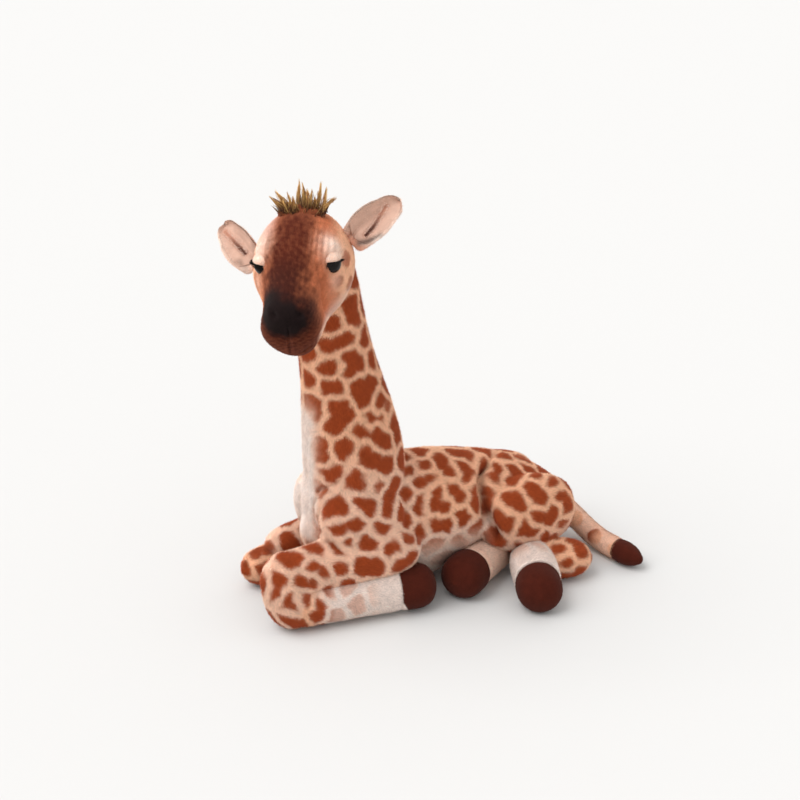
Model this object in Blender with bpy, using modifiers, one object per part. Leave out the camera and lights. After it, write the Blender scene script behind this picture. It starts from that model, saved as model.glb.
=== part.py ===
"""Plush giraffe calf lying down with its head turned to its left.

Metres, +Z up. The calf faces -Y and its left side is +X. The origin is the
middle of the flat patch on which the underside of the chest rests, so Z = 0
is the surface that the toy lies on. Every stuffed piece is a cage of rings
with a subdivision surface, trimmed by its larger neighbours with a small gap.
"""

import math

import bmesh
import bpy
from mathutils import Matrix, Vector

# Clearances
gap = 0.0003                    # between pieces that are sewn together
joint_gap = 0.0005              # between a ball end and its socket
flat_depth = 0.0005             # how deep the chest is pressed flat
overrun = 0.004                 # how far a cut runs past the surface
merge_distance = 0.00001        # points nearer than this are one point

# Torso
torso_length = 0.301
torso_front = 0.108             # from the origin to the front of the chest
torso_half_width = 0.051
torso_height = 0.136
torso_sides = 10
# Along the length, centre height, half width, half height
torso_shares = (
    (0.070, 0.585, 0.60, 0.270),
    (0.205, 0.534, 0.84, 0.446),
    (0.359, 0.542, 0.89, 0.542),
    (0.495, 0.553, 0.98, 0.493),
    (0.630, 0.632, 0.95, 0.337),
    (0.790, 0.575, 0.77, 0.275),
    (0.930, 0.390, 0.54, 0.200),
)

# Neck, from its ball in the shoulders to its ball under the head
neck_foot_back = 0.058          # from the front of the chest to the ball
neck_foot_height = 0.130
neck_foot_radius = 0.051
neck_rise = 0.215
neck_lean = 0.031               # how far the top stands ahead of the foot
neck_top_radius = 0.033
neck_sides = 10
neck_bend_deg = 6.0
# Up the neck, forward lean, half width, half depth as shares of the foot
neck_shares = (
    (0.000, 0.00, 0.96, 1.00),
    (0.210, 0.11, 0.83, 0.98),
    (0.420, 0.35, 0.67, 0.82),
    (0.680, 0.66, 0.60, 0.64),
    (1.000, 1.00, 0.60, 0.60),
)

# Head, turned on the neck and tipped down
head_turn_deg = 60.0
head_pitch_deg = 25.0
head_roll_deg = 4.0
head_reach = 0.042              # middle of the skull ahead of the neck's ball
head_rise = 0.0335
head_aside = 0.0095             # and to its own right
skull_half_width = 0.0455
skull_half_height = 0.046
skull_back = 0.046
muzzle_reach = 0.094            # middle of the skull to the tip of the nose
head_sides = 10
# Forward, half width, half height, drop of the centre
head_shares = (
    (-0.30, 0.82, 0.82, 0.00),
    (-0.12, 0.97, 0.97, 0.00),
    (0.08, 1.01, 1.00, 0.00),
    (0.28, 0.96, 0.98, 0.01),
    (0.48, 0.76, 0.88, 0.05),
    (0.68, 0.63, 0.83, 0.09),
    (0.89, 0.60, 0.77, 0.10),
)

# Ears: a ball root held in the head, a cupped leaf and its lining
ear_length = 0.059
ear_half_width = 0.0175
ear_thickness = 0.0024
ear_lining_thickness = 0.0014
ear_cup = 0.009
ear_bend = 0.006
ear_ball_radius = 0.0060
ear_ball_segments = 12
ear_clearance = 0.0011          # from the leaf to the head, for the flop
ear_lining_share = 0.84
ear_left_root_shares = (-0.17, 0.90, 0.30)  # forward, aside, up on the skull
ear_right_root_shares = (0.00, -0.98, -0.16)
ear_left_along_shares = (-0.53, 0.765, 0.365)
ear_left_face_shares = (0.64, 0.08, 0.765)
ear_right_along_shares = (-0.72, -0.60, 0.20)
ear_right_face_shares = (0.46, -0.30, 0.84)
# Along the leaf, half width
ear_width_shares = (
    (0.00, 0.74), (0.12, 0.84), (0.25, 0.95), (0.40, 1.00), (0.56, 0.96),
    (0.70, 0.83), (0.83, 0.64), (0.93, 0.44), (1.00, 0.20),
)
ear_columns = 6

# Eyes: a domed bead with a stem, held by a washer behind the cloth
eye_radius = 0.0094
eye_sunk = 0.0045
eye_stem_radius = 0.0020
eye_stem_length = 0.0085
eye_cloth = 0.0020
eye_washer_radius = 0.0070
eye_washer_thickness = 0.0012
eye_place_shares = (0.32, 0.67, 0.49)       # forward, aside, up on the skull
lid_thickness = 0.0013
lid_open_deg = 14.0
lid_back_deg = 118.0
lid_half_span_deg = 74.0
lash_reach = 0.0070
lash_thickness = 0.0007
lash_half_span_deg = 52.0
lash_count = 7

# Forelock: a sewn band with a fan of locks
forelock_half_width = 0.021
forelock_half_depth = 0.0085
forelock_half_height = 0.0060
forelock_back = 0.016
lock_radius = 0.0032
lock_length = 0.036
# Aside on the band, lean aside, lean forward, length
lock_shares = (
    (-0.86, -0.62, 0.10, 0.62),
    (-0.66, -0.42, -0.22, 0.86),
    (-0.46, -0.34, 0.16, 0.78),
    (-0.26, -0.14, -0.20, 0.96),
    (-0.06, -0.02, 0.12, 1.00),
    (0.14, 0.06, -0.22, 0.92),
    (0.32, 0.20, 0.18, 0.82),
    (0.50, 0.32, -0.16, 0.98),
    (0.68, 0.50, 0.12, 0.74),
    (0.86, 0.66, -0.10, 0.70),
)

# Forelegs
leg_radius = 0.0218
leg_lift = 0.0003               # keeps a limb just above the floor
knee_radius = 0.0246
hoof_radius = 0.0232
forearm_radius = 0.0250
elbow_radius = 0.0300
knee_side = 0.044               # knee pivots from the middle plane
knee_front = 0.139              # and ahead of the origin
lower_leg_length = 0.130        # knee pivot to the middle of the hoof's ball
hoof_length = 0.022             # from the hoof's seam to its ball
lower_leg_splay_deg = 8.0
forearm_length = 0.112
forearm_stack = 0.0285          # left forearm's height over its lower leg
forearm_inset = 0.006
right_knee_radius = 0.0208
right_shin_radius = 0.0188
right_hoof_radius = 0.0205
right_forearm_rise = 0.019      # start of the right forearm over its knee
right_elbow_rise = 0.030        # and its end
right_elbow_radius = 0.0260
shoulder_half_width = 0.027
shoulder_half_length = 0.047
shoulder_half_height = 0.044
shoulder_side = 0.034
shoulder_back = 0.050           # from the front of the chest
shoulder_height = 0.092
foreleg_sides = 8
knee_swing_deg = 24.0

# Hind legs
thigh_half_width = 0.033
thigh_half_length = 0.057
thigh_half_height = 0.046
thigh_side = 0.041
thigh_back = 0.234              # from the front of the chest
thigh_height = 0.065
right_thigh_half_height = 0.042
right_thigh_height = 0.058
hock_radius = 0.0208
stifle_radius = 0.0228          # ball on which the left cannon swings
left_stifle_side = 0.0615
left_stifle_back = 0.231
left_shank_length = 0.042
left_shank_heading_deg = 67.0
left_cannon_length = 0.066
left_cannon_heading_deg = -22.0
right_stifle_side = 0.002
right_stifle_back = 0.245
right_shank_length = 0.036
right_shank_radius = 0.0186
right_shank_heading_deg = 154.0
right_cannon_length = 0.116
right_cannon_heading_deg = -56.5
cannon_radius = 0.0200
hind_hoof_length = 0.020
hindleg_sides = 8
stifle_swing_deg = 20.0

# Tail
tail_radius = 0.0118
tail_root_height = 0.042
tail_root_in = 0.001            # ball's middle ahead of the rump's end
tail_reach = 0.075              # sideways from the root to the tip's seam
tail_back = 0.032
tail_tip_length = 0.030
tail_tip_radius = 0.0126
tail_sides = 6
tail_swing_deg = 30.0
# Sideways, back, height, radius
tail_shares = (
    (0.00, 0.00, 1.00, 1.00),
    (0.20, 0.52, 0.32, 0.96),
    (0.46, 0.68, 0.07, 0.94),
    (0.72, 0.82, 0.02, 0.96),
    (1.00, 1.00, 0.00, 1.00),
)

# Rings of a domed end, in degrees from its rim
plain_cap_deg = (48.0,)
round_cap_deg = (62.0, 32.0)

ball_segments = 16
swept_segments = 16
socket_segments = 32
turned_steps = 12
lid_rows = 5
lid_columns = 8

TAN = (0.52, 0.24, 0.10, 1.0)
CREAM = (0.80, 0.66, 0.50, 1.0)
WHITE = (0.82, 0.74, 0.64, 1.0)
FACE = (0.30, 0.12, 0.05, 1.0)
HOOF = (0.055, 0.020, 0.012, 1.0)
LINING = (0.78, 0.62, 0.52, 1.0)
BEAD = (0.010, 0.007, 0.006, 1.0)
WASHER = (0.75, 0.75, 0.72, 1.0)
HAIR = (0.22, 0.10, 0.03, 1.0)

X = Vector((1.0, 0.0, 0.0))
Y = Vector((0.0, 1.0, 0.0))
Z = Vector((0.0, 0.0, 1.0))


def clear_scene():
    """Remove every object, mesh and material that the file opened with."""
    for item in list(bpy.data.objects):
        bpy.data.objects.remove(item, do_unlink=True)
    for store in (bpy.data.meshes, bpy.data.curves, bpy.data.materials):
        for block in list(store):
            store.remove(block)


def new_collection(name):
    group = bpy.data.collections.new(name)
    bpy.context.scene.collection.children.link(group)
    return group


def material(name, colour, roughness=0.95):
    made = bpy.data.materials.new(name)
    made.use_nodes = True
    shader = made.node_tree.nodes["Principled BSDF"]
    shader.inputs["Base Color"].default_value = colour
    shader.inputs["Roughness"].default_value = roughness
    shader.inputs["Metallic"].default_value = 0.0
    made.diffuse_color = colour
    return made


def put(mesh, name, group, origin=None, look=None):
    """Link a world-space mesh as an object whose origin is the given point."""
    place = Vector((0.0, 0.0, 0.0)) if origin is None else origin
    mesh.transform(Matrix.Translation(-place))
    item = bpy.data.objects.new(name, mesh)
    item.location = place
    if look is not None:
        mesh.materials.append(look)
    group.objects.link(item)
    return item


def square(direction, tangent):
    """The part of a direction that is square to the tangent, at unit length."""
    return (direction - tangent * direction.dot(tangent)).normalized()


def cage(stations, side, sides, start_cap, end_cap, cap_angles):
    """Closed cage of rings round a path, with a domed cap at each end.

    A station is a centre, a half width along `side` and a half height. A ring
    lies square to the path, and is swollen so that its subdivided surface has
    the stated size.
    """
    swell = 6.0 / (4.0 + 2.0 * math.cos(2.0 * math.pi / sides))
    centres = [row[0] for row in stations]
    first = (centres[1] - centres[0]).normalized()
    last = (centres[-1] - centres[-2]).normalized()
    rows = []
    for angle in cap_angles:
        turn = math.radians(angle)
        back = first * start_cap * math.sin(turn)
        shrink = math.cos(turn)
        rows.append((centres[0] - back, stations[0][1] * shrink, stations[0][2] * shrink, first))
    for index, (centre, wide, high) in enumerate(stations):
        before = centres[max(index - 1, 0)]
        after = centres[min(index + 1, len(centres) - 1)]
        rows.append((centre, wide, high, (after - before).normalized()))
    for angle in reversed(cap_angles):
        turn = math.radians(angle)
        ahead = last * end_cap * math.sin(turn)
        shrink = math.cos(turn)
        rows.append((centres[-1] + ahead, stations[-1][1] * shrink, stations[-1][2] * shrink, last))
    made = bmesh.new()
    rings = []
    for centre, wide, high, tangent in rows:
        across = square(side, tangent)
        over = tangent.cross(across)
        ring = []
        for step in range(sides):
            turn = 2.0 * math.pi * step / sides
            out = across * (wide * swell * math.cos(turn)) + over * (high * swell * math.sin(turn))
            ring.append(made.verts.new(centre + out))
        rings.append(ring)
    for low, high in zip(rings, rings[1:]):
        for step in range(sides):
            after = (step + 1) % sides
            made.faces.new((low[step], low[after], high[after], high[step]))
    foot = made.verts.new(centres[0] - first * start_cap * 1.04)
    top = made.verts.new(centres[-1] + last * end_cap * 1.04)
    for step in range(sides):
        after = (step + 1) % sides
        made.faces.new((foot, rings[0][after], rings[0][step]))
        made.faces.new((top, rings[-1][step], rings[-1][after]))
    bmesh.ops.recalc_face_normals(made, faces=made.faces)
    for face in made.faces:
        face.smooth = True
    mesh = bpy.data.meshes.new("cage")
    made.to_mesh(mesh)
    made.free()
    return mesh


def add_subdivision(item, levels):
    smooth = item.modifiers.new("stuffing", "SUBSURF")
    smooth.levels = levels
    smooth.render_levels = levels


def baked(item):
    """A world-space mesh of the object as its modifiers leave it."""
    bpy.context.view_layer.update()
    graph = bpy.context.evaluated_depsgraph_get()
    mesh = bpy.data.meshes.new_from_object(item.evaluated_get(graph))
    mesh.transform(item.matrix_world)
    return mesh


def stuffed(name, stations, side, sides, caps, look, origin=None, cap_angles=plain_cap_deg):
    """A stuffed form: its cage, subdivided and made a plain mesh."""
    mesh = cage(stations, side, sides, caps[0], caps[1], cap_angles)
    draft = put(mesh, name + "_cage", CUTTERS)
    add_subdivision(draft, 1)
    finished = baked(draft)
    bpy.data.objects.remove(draft, do_unlink=True)
    finished.name = name
    finished.materials.clear()
    return put(finished, name, TOY, origin, look)


def boolean(item, other, operation):
    change = item.modifiers.new(operation.lower(), "BOOLEAN")
    change.operation = operation
    change.solver = "EXACT"
    change.object = other
    return change


def cutter(mesh, name):
    item = put(mesh, name, CUTTERS)
    item.hide_render = True
    item.display_type = "WIRE"
    return item


def swollen(item, clearance, turn=None, pivot=None):
    """A copy of a form grown by the clearance, turned about a pivot if asked."""
    mesh = baked(item)
    normals = [vertex.normal.copy() for vertex in mesh.vertices]
    for vertex, normal in zip(mesh.vertices, normals):
        vertex.co += normal * clearance
    if turn is not None:
        mesh.transform(Matrix.Translation(pivot) @ turn @ Matrix.Translation(-pivot))
    return cutter(mesh, "clear_of_" + item.name)


def swept(items, clearance, pivot, limits, along):
    """The room that a straight limb and its ball end need as the limb swings level."""
    made = bmesh.new()
    radius = (end_radius(items[0], pivot, along) + clearance) / math.cos(math.pi / swept_segments)
    bmesh.ops.create_uvsphere(
        made, u_segments=swept_segments, v_segments=swept_segments // 2, radius=radius,
        matrix=Matrix.Translation(pivot))
    bmesh.ops.delete(made, geom=list(made.faces), context="FACES_ONLY")
    for item in items:
        mesh = baked(item)
        reach = [vertex.co + vertex.normal * clearance - pivot for vertex in mesh.vertices]
        reach = [arm for arm in reach if arm.dot(along) > overrun]
        for share in (0.0, 0.25, 0.5, 0.75, 1.0):
            angle = math.radians(limits[0] + (limits[1] - limits[0]) * share)
            turn = Matrix.Rotation(angle, 3, "Z")
            for arm in reach:
                made.verts.new(pivot + turn @ arm)
    bmesh.ops.convex_hull(made, input=made.verts)
    loose = [vertex for vertex in made.verts if not vertex.link_faces]
    bmesh.ops.delete(made, geom=loose, context="VERTS")
    bmesh.ops.recalc_face_normals(made, faces=made.faces)
    hull = bpy.data.meshes.new("swing_room")
    made.to_mesh(hull)
    made.free()
    return cutter(hull, "swing_room_of_" + items[0].name)


def end_radius(item, pivot, along, depth_share=0.0):
    """How far a limb's domed end, behind its pivot, reaches from the pivot."""
    mesh = baked(item)
    arms = [vertex.co - pivot for vertex in mesh.vertices]
    behind = [arm.length for arm in arms if arm.dot(along) <= gap - arm.length * depth_share]
    return max(behind)


def trim_by(item, form):
    boolean(item, form, "DIFFERENCE")


def ball(centre, radius, name, segments=None):
    """A faceted ball whose flat faces lie no nearer than the radius."""
    made = bmesh.new()
    segments = ball_segments if segments is None else segments
    radius = radius / math.cos(math.pi / segments) ** 2
    bmesh.ops.create_uvsphere(
        made, u_segments=segments, v_segments=segments // 2, radius=radius,
        matrix=Matrix.Translation(centre))
    mesh = bpy.data.meshes.new(name)
    made.to_mesh(mesh)
    made.free()
    return cutter(mesh, name)


def block(centre, axis, reach, name):
    """A cube of twice the reach whose near face lies at the centre."""
    made = bmesh.new()
    turn = axis.to_track_quat("Z", "Y").to_matrix().to_4x4()
    place = Matrix.Translation(centre + axis * reach)
    bmesh.ops.create_cube(made, size=2.0 * reach, matrix=place @ turn)
    mesh = bpy.data.meshes.new(name)
    made.to_mesh(mesh)
    made.free()
    return cutter(mesh, name)


def frame_at(origin, outward, upward):
    """Matrix whose Z is outward and whose Y is as near upward as it can be."""
    up = square(upward, outward)
    side = up.cross(outward)
    turn = Matrix((side, up, outward)).transposed().to_4x4()
    return Matrix.Translation(origin) @ turn


def turned(name, profile, place, group, look=None, origin=None, steps=None):
    """A turned shape: a profile from axis to axis, swept by a Screw."""
    steps = turned_steps if steps is None else steps
    mesh = bpy.data.meshes.new(name + "_profile")
    points = [(radius, 0.0, height) for radius, height in profile]
    edges = [(index, index + 1) for index in range(len(points) - 1)]
    mesh.from_pydata(points, edges, [])
    draft = bpy.data.objects.new(name + "_draft", mesh)
    draft.matrix_world = place
    CUTTERS.objects.link(draft)
    sweep = draft.modifiers.new("turn", "SCREW")
    sweep.angle = 2.0 * math.pi
    sweep.steps = steps
    sweep.render_steps = steps
    sweep.axis = "Z"
    sweep.use_merge_vertices = True
    sweep.merge_threshold = merge_distance
    finished = baked(draft)
    bpy.data.objects.remove(draft, do_unlink=True)
    tidy = bmesh.new()
    tidy.from_mesh(finished)
    bmesh.ops.remove_doubles(tidy, verts=tidy.verts, dist=merge_distance)
    bmesh.ops.recalc_face_normals(tidy, faces=tidy.faces)
    tidy.to_mesh(finished)
    tidy.free()
    finished.name = name
    if group is CUTTERS:
        return cutter(finished, name)
    return put(finished, name, group, origin, look)


def sheet_solid(name, points, thickness, look, origin=None, group=None):
    """A grid of points, thickened about its own surface into a closed shell."""
    made = bmesh.new()
    rows = [[made.verts.new(point) for point in row] for row in points]
    for low, high in zip(rows, rows[1:]):
        for step in range(len(low) - 1):
            made.faces.new((low[step], low[step + 1], high[step + 1], high[step]))
    bmesh.ops.recalc_face_normals(made, faces=made.faces)
    for face in made.faces:
        face.smooth = True
    mesh = bpy.data.meshes.new(name + "_sheet")
    made.to_mesh(mesh)
    made.free()
    draft = put(mesh, name + "_draft", CUTTERS)
    shell = draft.modifiers.new("thickness", "SOLIDIFY")
    shell.thickness = thickness
    shell.offset = 0.0
    shell.use_even_offset = True
    finished = baked(draft)
    bpy.data.objects.remove(draft, do_unlink=True)
    tidy = bmesh.new()
    tidy.from_mesh(finished)
    bmesh.ops.recalc_face_normals(tidy, faces=tidy.faces)
    tidy.to_mesh(finished)
    tidy.free()
    finished.name = name
    finished.materials.clear()
    return put(finished, name, TOY if group is None else group, origin, look)


def heading(degrees, flip=1.0):
    turn = math.radians(degrees)
    return Vector((math.cos(turn) * flip, math.sin(turn), 0.0))


def ellipsoid_stations(centre, along, half_length, half_width, half_height):
    """Rings of an ellipsoid whose length runs along a direction."""
    rows = []
    for share in (-0.72, 0.0, 0.72):
        shrink = math.sqrt(1.0 - share * share)
        rows.append((centre + along * (half_length * share), half_width * shrink, half_height * shrink))
    return rows


# Places that several pieces share
neck_foot = Vector((0.0, neck_foot_back - torso_front, neck_foot_height))
neck_top = neck_foot + Vector((0.0, -neck_lean, neck_rise))


def neck_stations():
    rows = []
    for up, lean, wide, deep in neck_shares:
        centre = neck_foot + Vector((0.0, -neck_lean * lean, neck_rise * up))
        rows.append((centre, neck_foot_radius * wide, neck_foot_radius * deep))
    top = rows[-1]
    rows[-1] = (top[0], neck_top_radius, neck_top_radius)
    return rows


neck_axis = (neck_stations()[-1][0] - neck_stations()[-2][0]).normalized()


def head_axes():
    """Forward, left and up of the turned, tipped and rolled head."""
    turn = math.radians(head_turn_deg)
    level = Vector((math.sin(turn), -math.cos(turn), 0.0))
    left = Vector((math.cos(turn), math.sin(turn), 0.0))
    pitch = math.radians(head_pitch_deg)
    forward = level * math.cos(pitch) - Z * math.sin(pitch)
    roll = Matrix.Rotation(math.radians(head_roll_deg), 3, forward)
    left = roll @ left
    return forward.normalized(), left.normalized(), forward.cross(left).normalized(), level


HEAD_FORWARD, HEAD_LEFT, HEAD_UP, HEAD_LEVEL = head_axes()
side_level = Vector((math.cos(math.radians(head_turn_deg)), math.sin(math.radians(head_turn_deg)), 0.0))
head_centre = neck_top + HEAD_LEVEL * head_reach - side_level * head_aside + Z * head_rise


def on_head(forward, aside, up):
    return head_centre + HEAD_FORWARD * forward + HEAD_LEFT * aside + HEAD_UP * up


def make_torso(look):
    rows = []
    for along, height, wide, high in torso_shares:
        centre = Vector((0.0, torso_length * along - torso_front, torso_height * height))
        rows.append((centre, torso_half_width * wide, torso_height * high))
    front = torso_length * torso_shares[0][0]
    back = torso_length * (1.0 - torso_shares[-1][0])
    item = stuffed("torso", rows, X, torso_sides, (front, back), look)
    lowest = min(vertex.co.z for vertex in item.data.vertices)
    item.data.transform(Matrix.Translation(Vector((0.0, 0.0, -flat_depth - lowest))))
    clear_torso = swollen(item, gap * 2.0)
    floor = block(Vector((0.0, 0.0, 0.0)), -Z, torso_length, "floor_cut")
    trim_by(item, floor)
    return item, clear_torso


def clear_for_neck(torso, neck):
    """The neck's socket, with room in the withers as the neck bends."""
    foot = end_radius(neck, neck_foot, Z, 0.4) + joint_gap
    trim_by(torso, ball(neck_foot, foot, "neck_socket", socket_segments))
    for share in (-1.0, 1.0):
        turn = Matrix.Rotation(math.radians(neck_bend_deg * share), 4, "X")
        trim_by(torso, swollen(neck, joint_gap, turn, neck_foot))


def make_neck(look):
    rows = neck_stations()
    caps = (neck_foot_radius, neck_top_radius)
    return stuffed("neck", rows, X, neck_sides, caps, look, neck_foot, round_cap_deg)


def make_head(look):
    rows = []
    for along, wide, high, drop in head_shares:
        reach = muzzle_reach if along > 0.0 else skull_back / 0.60
        centre = on_head(reach * along, 0.0, -skull_half_height * drop)
        rows.append((centre, skull_half_width * wide, skull_half_height * high))
    front = muzzle_reach * (1.0 - head_shares[-1][0])
    back = skull_back * 0.5
    return stuffed("head", rows, HEAD_LEFT, head_sides, (back, front * 1.15), look, neck_top)


def eye_frame(flip):
    """Frame of an eye: Z out of the head, Y up its face, X to the side."""
    forward, aside, up = eye_place_shares
    outward = (HEAD_FORWARD * forward * 0.9 + HEAD_LEFT * aside * flip + HEAD_UP * up * 0.9).normalized()
    start = on_head(muzzle_reach * forward, 0.0, 0.0)
    reach = math.sqrt((aside * skull_half_width) ** 2 + (up * skull_half_height) ** 2)
    aim = (HEAD_LEFT * aside * skull_half_width * flip + HEAD_UP * up * skull_half_height).normalized()
    surface = start + aim * reach * 1.10
    return frame_at(surface - outward * eye_sunk, outward, HEAD_UP)


def dome_profile(radius, steps):
    rows = []
    for step in range(steps + 1):
        turn = math.radians(90.0 * step / steps)
        rows.append((radius * math.sin(turn), radius * math.cos(turn)))
    rows[0] = (0.0, radius)
    return rows


def make_eye(side, flip, head, looks):
    place = eye_frame(flip)
    floor = -eye_cloth - gap
    washer_top = -eye_cloth - gap * 2.0
    washer_foot = washer_top - eye_washer_thickness
    profile = dome_profile(eye_radius, 6)
    profile += [(eye_stem_radius, 0.0), (eye_stem_radius, -eye_stem_length), (0.0, -eye_stem_length)]
    turned("eye_" + side, profile, place, TOY, looks["bead"], neck_top)
    hole = eye_stem_radius + gap
    ring = [
        (hole, washer_top), (eye_washer_radius, washer_top),
        (eye_washer_radius, washer_foot), (hole, washer_foot), (hole, washer_top)]
    turned("eye_washer_" + side, ring, place, TOY, looks["washer"], neck_top)
    rim = eye_radius + gap
    chamber = eye_washer_radius + gap
    deep = -eye_stem_length - gap
    pocket = [
        (0.0, eye_radius * 2.0), (rim, eye_radius * 2.0), (rim, -gap), (hole, -gap),
        (hole, floor), (chamber, floor), (chamber, washer_foot - gap),
        (hole, washer_foot - gap), (hole, deep), (0.0, deep)]
    trim_by(head, turned("eye_pocket_" + side, pocket, place, CUTTERS))
    turn = place.to_3x3()
    centre = place.translation
    wide = turn @ X
    high = turn @ Y
    out = turn @ Z

    def on_eye(radius, lift, swing):
        lift = math.radians(lift)
        swing = math.radians(swing)
        spoke = (out * math.cos(lift) + high * math.sin(lift)) * math.cos(swing) + wide * math.sin(swing)
        return centre + spoke * radius

    middle = eye_radius + gap + lid_thickness * 0.5
    rows = []
    for row in range(lid_rows + 1):
        lift = lid_open_deg + (lid_back_deg - lid_open_deg) * row / lid_rows
        rows.append([
            on_eye(middle, lift, lid_half_span_deg * (2.0 * column / lid_columns - 1.0))
            for column in range(lid_columns + 1)])
    lid = sheet_solid("eyelid_" + side, rows, lid_thickness, looks["lid"], neck_top)
    lash_drop = math.degrees((gap + lash_thickness * 0.5) / (eye_radius + gap)) * 1.3
    lift = lid_open_deg - lash_drop
    inner = []
    outer = []
    steps = lash_count * 2
    for step in range(steps + 1):
        swing = lash_half_span_deg * (2.0 * step / steps - 1.0)
        tooth = 1.0 if step % 2 else 0.36
        inner.append(on_eye(eye_radius + gap * 1.6, lift, swing))
        outer.append(on_eye(eye_radius + gap + lash_reach * tooth, lift - 5.0, swing * 1.12))
    mid = [(a + b) * 0.5 for a, b in zip(inner, outer)]
    lashes = sheet_solid("lashes_" + side, [inner, mid, outer], lash_thickness, looks["hoof"], neck_top)
    return lid, lashes


def make_ear(side, root_shares, along_shares, face_shares, looks, head, clear_head):
    root_forward, root_aside, root_up = root_shares
    root = on_head(
        skull_back * root_forward, skull_half_width * root_aside, skull_half_height * root_up)
    mix = (HEAD_FORWARD, HEAD_LEFT, HEAD_UP)
    along = sum((axis * share for axis, share in zip(mix, along_shares)), Vector()).normalized()
    face = square(sum((axis * share for axis, share in zip(mix, face_shares)), Vector()), along)
    across = along.cross(face)

    def leaf(start_share, shrink, lift):
        rows = []
        for share, width in ear_width_shares:
            if share < start_share:
                continue
            row = []
            for column in range(ear_columns + 1):
                swing = 2.0 * column / ear_columns - 1.0
                width_here = ear_half_width * width * shrink
                lean = (swing * shrink) ** 2 * ear_cup * min(share / 0.3, width * 1.1, 1.0)
                back = ear_bend * share * share
                reach = ear_length * (share if share < 1.0 else 1.0 - (1.0 - shrink) * 0.3)
                row.append(
                    root + along * reach + across * (swing * width_here) + face * (lean - back + lift))
            rows.append(row)
        return rows

    outer = sheet_solid(
        "ear_" + side + "_outer", leaf(0.0, 1.0, 0.0), ear_thickness, looks["tan"], root)
    trim_by(outer, clear_head)
    boolean(outer, ball(root, ear_ball_radius, "ear_ball_" + side, ear_ball_segments), "UNION")
    socket = ball(root, ear_ball_radius + joint_gap, "ear_socket_" + side, ear_ball_segments)
    trim_by(head, socket)
    lift = ((ear_thickness + ear_lining_thickness) * 0.5 + gap) * 1.45
    lining = sheet_solid(
        "ear_" + side + "_lining", leaf(0.2, ear_lining_share, lift), ear_lining_thickness,
        looks["lining"], root)
    trim_by(lining, clear_head)


def make_forelock(look, head_form):
    middle = on_head(-forelock_back, 0.0, skull_half_height * 0.93)
    rows = ellipsoid_stations(
        middle, HEAD_LEFT, forelock_half_width, forelock_half_depth, forelock_half_height)
    cap = forelock_half_width * 0.2
    item = stuffed("forelock", rows, HEAD_FORWARD, 8, (cap, cap), look, neck_top)
    for index, (aside, lean, ahead, length) in enumerate(lock_shares):
        foot = middle + HEAD_LEFT * (forelock_half_width * aside * 0.8)
        aim = (HEAD_UP + HEAD_LEFT * (lean + 0.12) + HEAD_FORWARD * (ahead - 0.25)).normalized()
        reach = lock_length * length
        made = bmesh.new()
        turn = aim.to_track_quat("Z", "Y").to_matrix().to_4x4()
        bmesh.ops.create_cone(
            made, cap_ends=True, segments=5, radius1=lock_radius, radius2=lock_radius * 0.12,
            depth=reach, matrix=Matrix.Translation(foot + aim * reach * 0.5) @ turn)
        mesh = bpy.data.meshes.new("lock")
        made.to_mesh(mesh)
        made.free()
        boolean(item, cutter(mesh, "lock_" + str(index)), "UNION")
    trim_by(item, head_form)


def straight_leg(name, start, aim, length, radii, sides, look, origin):
    """A limb that tapers evenly from a ball end to its hoof seam."""
    rows = []
    for share in (0.0, 0.5, 1.0):
        radius = radii[0] + (radii[1] - radii[0]) * min(share * 1.8, 1.0)
        rows.append((start + aim * (length * share), radius, radius))
    return stuffed(name, rows, Z, sides, (radii[0], radii[1]), look, origin)


def make_hoof(name, seam, aim, length, sides, look, origin, radius):
    """A blunt hoof past its seam, a little fuller than the leg."""
    rows = [
        (seam - aim * overrun, radius * 0.98, radius * 0.98),
        (seam + aim * (length * 1.12), radius, radius)]
    item = stuffed(name, rows, Z, sides, (overrun, radius * 0.72), look, origin)
    trim_by(item, block(seam + aim * (gap * 0.5), -aim, radius * 3.0, name + "_seam"))
    return item


def seam_leg(item, seam, aim, reach):
    trim_by(item, block(seam - aim * (gap * 0.5), aim, reach, item.name + "_seam"))


def make_foreleg_left(looks, clear_torso):
    pivot = Vector((knee_side, -knee_front, knee_radius + leg_lift))
    aim = heading(90.0 - lower_leg_splay_deg)
    foot = Vector((0.0, 0.0, hoof_radius - knee_radius))
    run = (aim * lower_leg_length + foot).normalized()
    lower = straight_leg(
        "foreleg_left_lower", pivot, run, lower_leg_length, (knee_radius, leg_radius),
        foreleg_sides, looks["white"], pivot)
    seam = pivot + run * (lower_leg_length - hoof_length)
    hoof = make_hoof(
        "foreleg_left_hoof", seam, run, hoof_length, foreleg_sides, looks["hoof"], pivot, hoof_radius)
    knee = pivot + Vector((-forearm_inset, -forearm_inset * 0.5, forearm_stack))
    elbow = knee + Vector((forearm_inset, forearm_length, forearm_inset * 1.2))
    rows = []
    for share, swell in ((0.0, 0.0), (0.5, 0.1), (1.0, 1.0)):
        radius = forearm_radius + (elbow_radius - forearm_radius) * swell
        rows.append((knee.lerp(elbow, share), radius * 0.94, radius))
    upper = stuffed(
        "foreleg_left_upper", rows, X, foreleg_sides, (forearm_radius, elbow_radius), looks["tan"])
    finish_upper(upper, 1.0, looks, clear_torso)
    trim_by(upper, swept((lower, hoof), joint_gap, pivot, (-knee_swing_deg, 0.0), run))
    seam_leg(lower, seam, run, hoof_radius * 3.0)


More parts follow.
